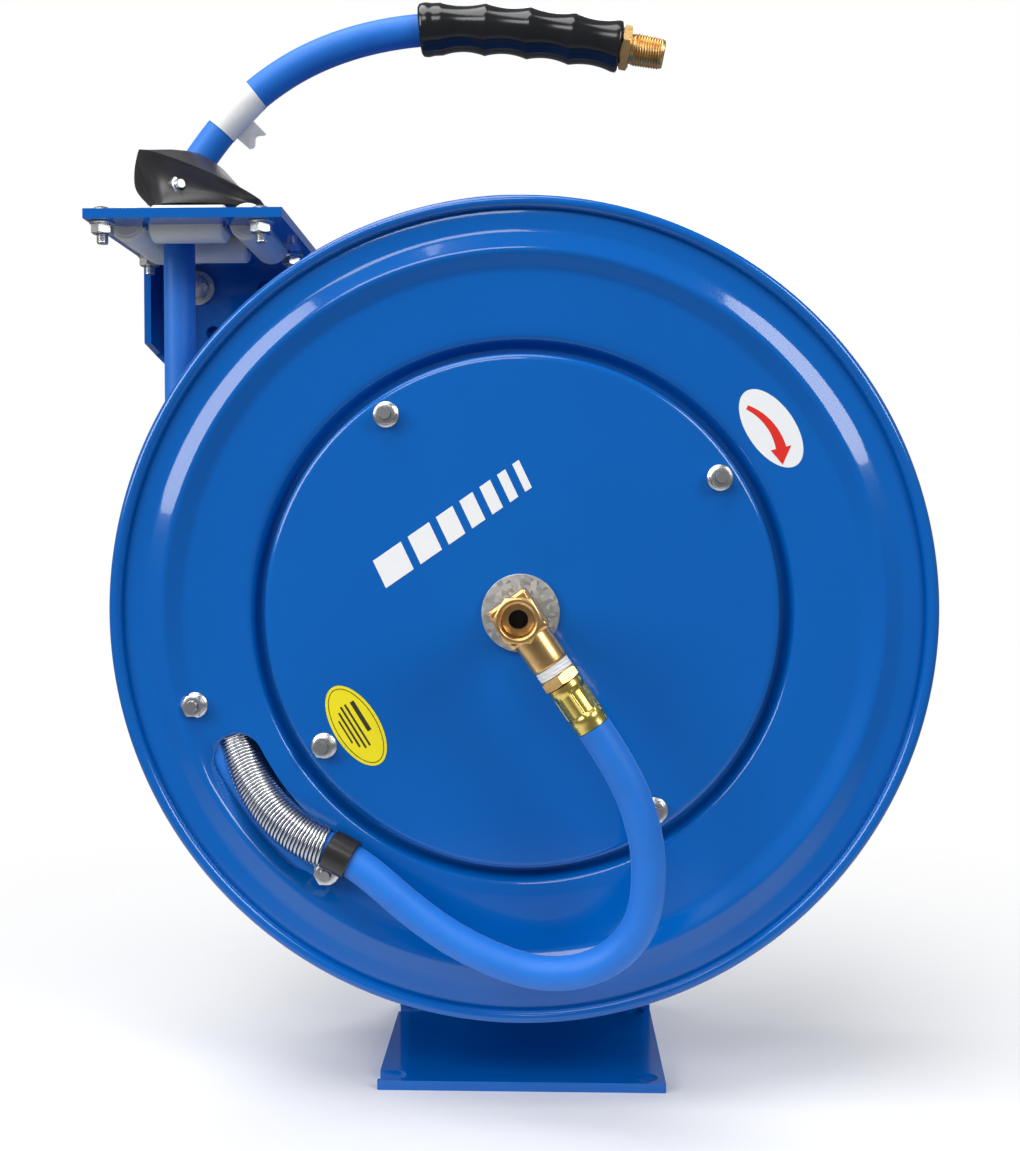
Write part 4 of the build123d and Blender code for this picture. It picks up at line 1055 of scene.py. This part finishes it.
def stopHalves():
    rows = stopSurface()
    where = reel(*stopSpec["splitAt"], 0)
    for name, sign, node in (("stopFront", 1, "stop_half_front"), ("stopRear", -1, "stop_half_rear")):
        shape = Shape().rows(rows, capStart=True, capEnd=True)
        obj = shape.make(name, blackPlastic, "hose_end", [node], 38)
        work = bmesh.new()
        work.from_mesh(obj.data)
        parts = work.verts[:] + work.edges[:] + work.faces[:]
        plane = where + stopCut * (sign * stopSpec["gap"] * mm)
        done = bmesh.ops.bisect_plane(work, geom=parts, plane_co=plane, plane_no=stopCut * -sign,
                                      clear_outer=True)
        edges = [e for e in done["geom_cut"] if isinstance(e, bmesh.types.BMEdge)]
        bmesh.ops.holes_fill(work, edges=edges)
        bmesh.ops.recalc_face_normals(work, faces=work.faces)
        work.to_mesh(obj.data)
        work.free()
        obj.data.set_sharp_from_angle(angle=math.radians(38))
        bevelled(obj, 0.5, 2, 60)


def stopBolts():
    spec = {"radius": 2.5, "apothem": 4.0, "height": 222.5, "apart": 14.6}
    shape = Shape()
    along = Vector((-stopCut.y, stopCut.x, 0))
    for side, end in ((-1, 21.5), (1, 20.5)):
        middle = reel(*stopSpec["splitAt"], spec["height"]) + along * (side * spec["apart"] * mm)
        shape.thread(spec["radius"], 0.25, 0.8, -20, end, middle, stopCut, 24)
        shape.hexagon(spec["apothem"], 0, 4.0, spec["radius"], middle + stopCut * (14.5 * mm), stopCut)
        shape.hexagon(spec["apothem"], 14.2, 17.6, 0.6, middle, -stopCut)
    shape.make("stopBolts", zinc, "hose_end", ["stop_bolts"])


stopHalves()
stopBolts()
print("stop made")

# Hand grip: a dipped sleeve with finger waves above and below
gripSpec = {"length": 108.5, "radius": 13.7, "wave": 1.9, "fingers": 4}


def handGrip():
    start = tailLine.length - gripSpec["length"]
    count = 120
    stations = [start + gripSpec["length"] * i / count for i in range(count + 1)]

    def radiusAt(distance, a):
        share = (distance - start) / gripSpec["length"]
        inWave = min(1, max(0, (share - 0.11) / 0.86))
        wave = abs(math.sin(math.pi * gripSpec["fingers"] * inWave)) ** 0.85
        upDown = 0.42 + 0.58 * math.sin(a) ** 2
        end = min(distance - start, start + gripSpec["length"] - distance)
        lip = 1.3 * (1 - math.sqrt(max(0, 1 - (1 - min(1, end / 1.3)) ** 2)))
        cuff = 0.5 * ease(1 - abs(share - 0.035) / 0.035)
        return gripSpec["radius"] - 0.55 - gripSpec["wave"] * wave * upDown - lip + cuff

    rings = tailLine.rings(stations, radiusAt, 72)
    bore = tailLine.rings([start, start + gripSpec["length"]], lambda d, a: hose["radius"] + 0.05, 72)
    shape = Shape().rows([bore[0]] + rings + [bore[1]])
    shape.make("handGrip", gripRubber, "hose_end", ["hose_grip"], 50)


def outletFitting():
    tip = tailLine.at(tailLine.length)
    axis = (tailRoute[-1] - tailRoute[-2]).normalized()
    spec = {"hex": 9.9, "hexLength": 5.4, "major": 8.55, "length": 18.0, "pitch": 1.41, "bore": 3.6}
    bore = spec["bore"]
    shape = Shape().hexagon(spec["hex"], 0, spec["hexLength"], bore, tip, axis, 10)
    low, high = spec["hexLength"], spec["hexLength"] + spec["length"]
    relief = rounded([(bore, low - 0.3), (7.6, low - 0.3), (7.6, low + 1.4), (bore, low + 1.4)], 0.2, 2)
    shape.turn(relief, tip, axis, 60, loop=True)
    shape.thread(spec["major"], 0.75, spec["pitch"], low + 1.1, high - 0.9, tip, axis, 60, 0.031, bore)
    nose = rounded([(bore, high - 1.4), (7.2, high - 1.4), (7.2, high - 0.5), (6.7, high), (4.4, high),
                    (bore, high - 0.8)], 0.2, 2)
    shape.turn(nose, tip, axis, 60, loop=True)
    shape.make("outletFitting", brass, "hose_end", ["outlet_fitting"], 45)


handGrip()
outletFitting()


# Paper sleeve round the hose with two flaps standing off it
def hoseTag():
    start = tailLine.nearest(reel(-163.5, drum["middle"], 257)) + 0.5
    finish = start + 27
    radius = hose["radius"] + 0.25
    stations = [start + (finish - start) * i / 24 for i in range(25)]
    sleeve = tailLine.rings(stations, lambda d, a: radius + 0.06 * math.sin(5 * a + d), 48)
    inner = tailLine.rings([finish, start], lambda d, a: hose["radius"] + 0.02, 48)
    shape = Shape().rows(sleeve + inner)
    for low, high, away, lift in ((0.5, 0.98, 15.5, 0.9), (0.12, 0.62, -15.0, -0.9)):
        rows = []
        for i in range(9):
            distance = start + (finish - start) * (low + (high - low) * i / 8)
            axis = tailLine.along(distance)
            back = Vector((0, 1, 0))
            out = axis.cross(back)
            row = []
            for k in range(7):
                reach = (away * k / 6) * (0.9 + 0.1 * math.sin(i))
                depth = radius * 0.95 + 0.7 * math.sin(k * 0.9) + abs(k) * 0.35
                row.append(tailLine.at(distance) + back * (depth * mm) + out * ((lift + reach) * mm))
            rows.append(row)
        far = [[point + Vector((0, 0.18 * mm, 0)) for point in row] for row in rows]
        shape.rows([row + other[::-1] for row, other in zip(rows, far)], capStart=True, capEnd=True)
    shape.make("hoseTag", tagPaper, "hose_end", ["hose_tag"], 40)


hoseTag()
print("hose end made")


# Labels: thin vinyl ovals with printed shapes a little proud of them
sheetSpec = {"thick": 0.12, "printLift": 0.11}


def decal(name, outlines, finish, spec, face, replaced=()):
    a = math.radians(spec["angle"])
    u, v = Vector((math.cos(a), 0, math.sin(a))), Vector((-math.sin(a), 0, math.cos(a)))
    x, z = spec["centre"]
    shape = Shape()
    for outline in outlines:
        shape.prism(outline, reel(x, face, z), u, v, Vector((0, -sheetSpec["thick"] * mm, 0)))
    shape.make(name, finish, "drum", replaced, 40)


def oval(halfLong, halfShort, steps=96):
    angles = [fullTurn * k / steps for k in range(steps)]
    return [(halfLong * math.cos(a), halfShort * math.sin(a)) for a in angles]


def ovalLine(halfLong, halfShort, width, steps=96):  # printed border, as short joined pieces
    pieces = []
    for k in range(steps):
        corners = []
        for i, shrink in ((k, 0), (k + 1, 0), (k + 1, width), (k, width)):
            a = fullTurn * i / steps
            corners.append(((halfLong - shrink) * math.cos(a), (halfShort - shrink) * math.sin(a)))
        pieces.append(corners)
    return pieces


def bar(x, y, length, height, slant=0.0):
    low, high = y - height / 2, y + height / 2
    return [(x - length / 2, low), (x + length / 2, low),
            (x + length / 2 + slant * height, high), (x - length / 2 + slant * height, high)]


# Lines of print as plain bars: middle, length and height of each
cautionSpec = {"centre": (-82.7, -57.0), "angle": -58, "half": (22.6, 11.6), "margin": 1.5, "line": 0.35,
               "bars": [(-3, 4.6, 17, 2.2), (0, 0.8, 24, 1.0), (0, -1.6, 24, 1.0), (0, -4.0, 20, 1.0),
                        (0, -6.2, 13, 0.8)]}
decal("cautionLabel", [oval(*cautionSpec["half"])], yellowVinyl, cautionSpec, drum["coverFace"],
      ["caution_label"])
printed = ovalLine(*[half - cautionSpec["margin"] for half in cautionSpec["half"]], cautionSpec["line"])
printed += [bar(*sizes) for sizes in cautionSpec["bars"]]
decal("cautionPrint", printed, blackInk, cautionSpec, drum["coverFace"] - sheetSpec["printLift"])

arrowSpec = {"centre": (124.5, 91.8), "angle": -55, "half": (22.3, 11.7), "bend": 30.0, "lift": 0.5,
             "tail": 121, "neck": 69, "tip": 53, "headHalf": 5.2}
decal("rotationLabel", [oval(*arrowSpec["half"])], whiteVinyl, arrowSpec, drum["plateauFace"],
      ["rotation_label"])


def turningArrow():  # a bent tapering bar and a three-cornered head, in degrees round the bend
    spec = arrowSpec
    bend, pieces = spec["bend"], 16

    def onBend(radius, degrees):
        a = math.radians(degrees)
        return (radius * math.cos(a), radius * math.sin(a) - bend + spec["lift"])

    outer, inner = [], []
    for k in range(pieces + 1):
        share = k / pieces
        degrees = spec["tail"] - (spec["tail"] - spec["neck"]) * share
        width = 1.1 + 1.5 * share
        outer.append(onBend(bend + width, degrees))
        inner.append(onBend(bend - width, degrees))
    quads = [[outer[k], outer[k + 1], inner[k + 1], inner[k]] for k in range(pieces)]
    head = [onBend(bend + spec["headHalf"], spec["neck"]), onBend(bend, spec["tip"]),
            onBend(bend - spec["headHalf"], spec["neck"])]
    decal("turningArrow", quads + [head], redVinyl, spec, drum["plateauFace"] - sheetSpec["printLift"])


turningArrow()

# Plain slanted bars where a maker would print a name
barSpec = {"centre": (-33.0, 45.0), "angle": 34.6, "height": 15.0, "slant": 0.16, "start": -47.0, "gap": 4.2,
           "widths": (17.0, 13.0, 10.0, 8.0, 6.5, 5.0, 4.0)}
bars, left = [], barSpec["start"]
for width in barSpec["widths"]:
    bars.append(bar(left + width / 2, 0, width, barSpec["height"], barSpec["slant"]))
    left += width + barSpec["gap"]
decal("coverBars", bars, whiteVinyl, barSpec, drum["coverFace"])
print("labels made")


# Floor and backdrop light
def studio():
    floor = Shape().rows([[(-9, -6, 0), (9, -6, 0)], [(-9, 9, 0), (9, 9, 0)]], around=False)
    mesh = bpy.data.meshes.new("floor")
    mesh.from_pydata(floor.verts, [], floor.faces)
    obj = bpy.data.objects.new("floor", mesh)
    scene.collection.objects.link(obj)
    pale = Finish("paleFloor", "", {"Specular IOR Level": 0.3})
    mottle = pale.noise(3, 3)
    pale.use("Base Color", pale.blend(mottle, colour(0.86, 0.86, 0.87), colour(0.82, 0.82, 0.83)))
    pale.use("Roughness", 0.45 + mottle * 0.1)
    spot = pale.node("VectorMath", {"operation": "LENGTH"}, {0: pale.stretched((1, 1.25, 1))}, 1)
    pale.use("Alpha", pale.ramp(spot, [(0.16, 1), (0.3, 0.82), (0.5, 0.3), (0.72, 0)]))
    obj.data.materials.append(pale.material)
    world = bpy.data.worlds.new("studio")
    world.use_nodes = True
    nodes = world.node_tree.nodes
    room = nodes["Background"]
    room.inputs["Color"].default_value = colour(0.9, 0.94, 1.0)
    room.inputs["Strength"].default_value = 0.2
    backdrop = nodes.new("ShaderNodeBackground")  # what is seen behind the reel: a white paper sweep
    backdrop.inputs["Color"].default_value = colour(1, 1, 1)
    backdrop.inputs["Strength"].default_value = 1.0
    chooser = nodes.new("ShaderNodeMixShader")
    links = world.node_tree.links
    links.new(nodes.new("ShaderNodeLightPath").outputs["Is Camera Ray"], chooser.inputs[0])
    links.new(room.outputs[0], chooser.inputs[1])
    links.new(backdrop.outputs[0], chooser.inputs[2])
    links.new(chooser.outputs[0], nodes["World Output"].inputs["Surface"])
    scene.world = world


studio()
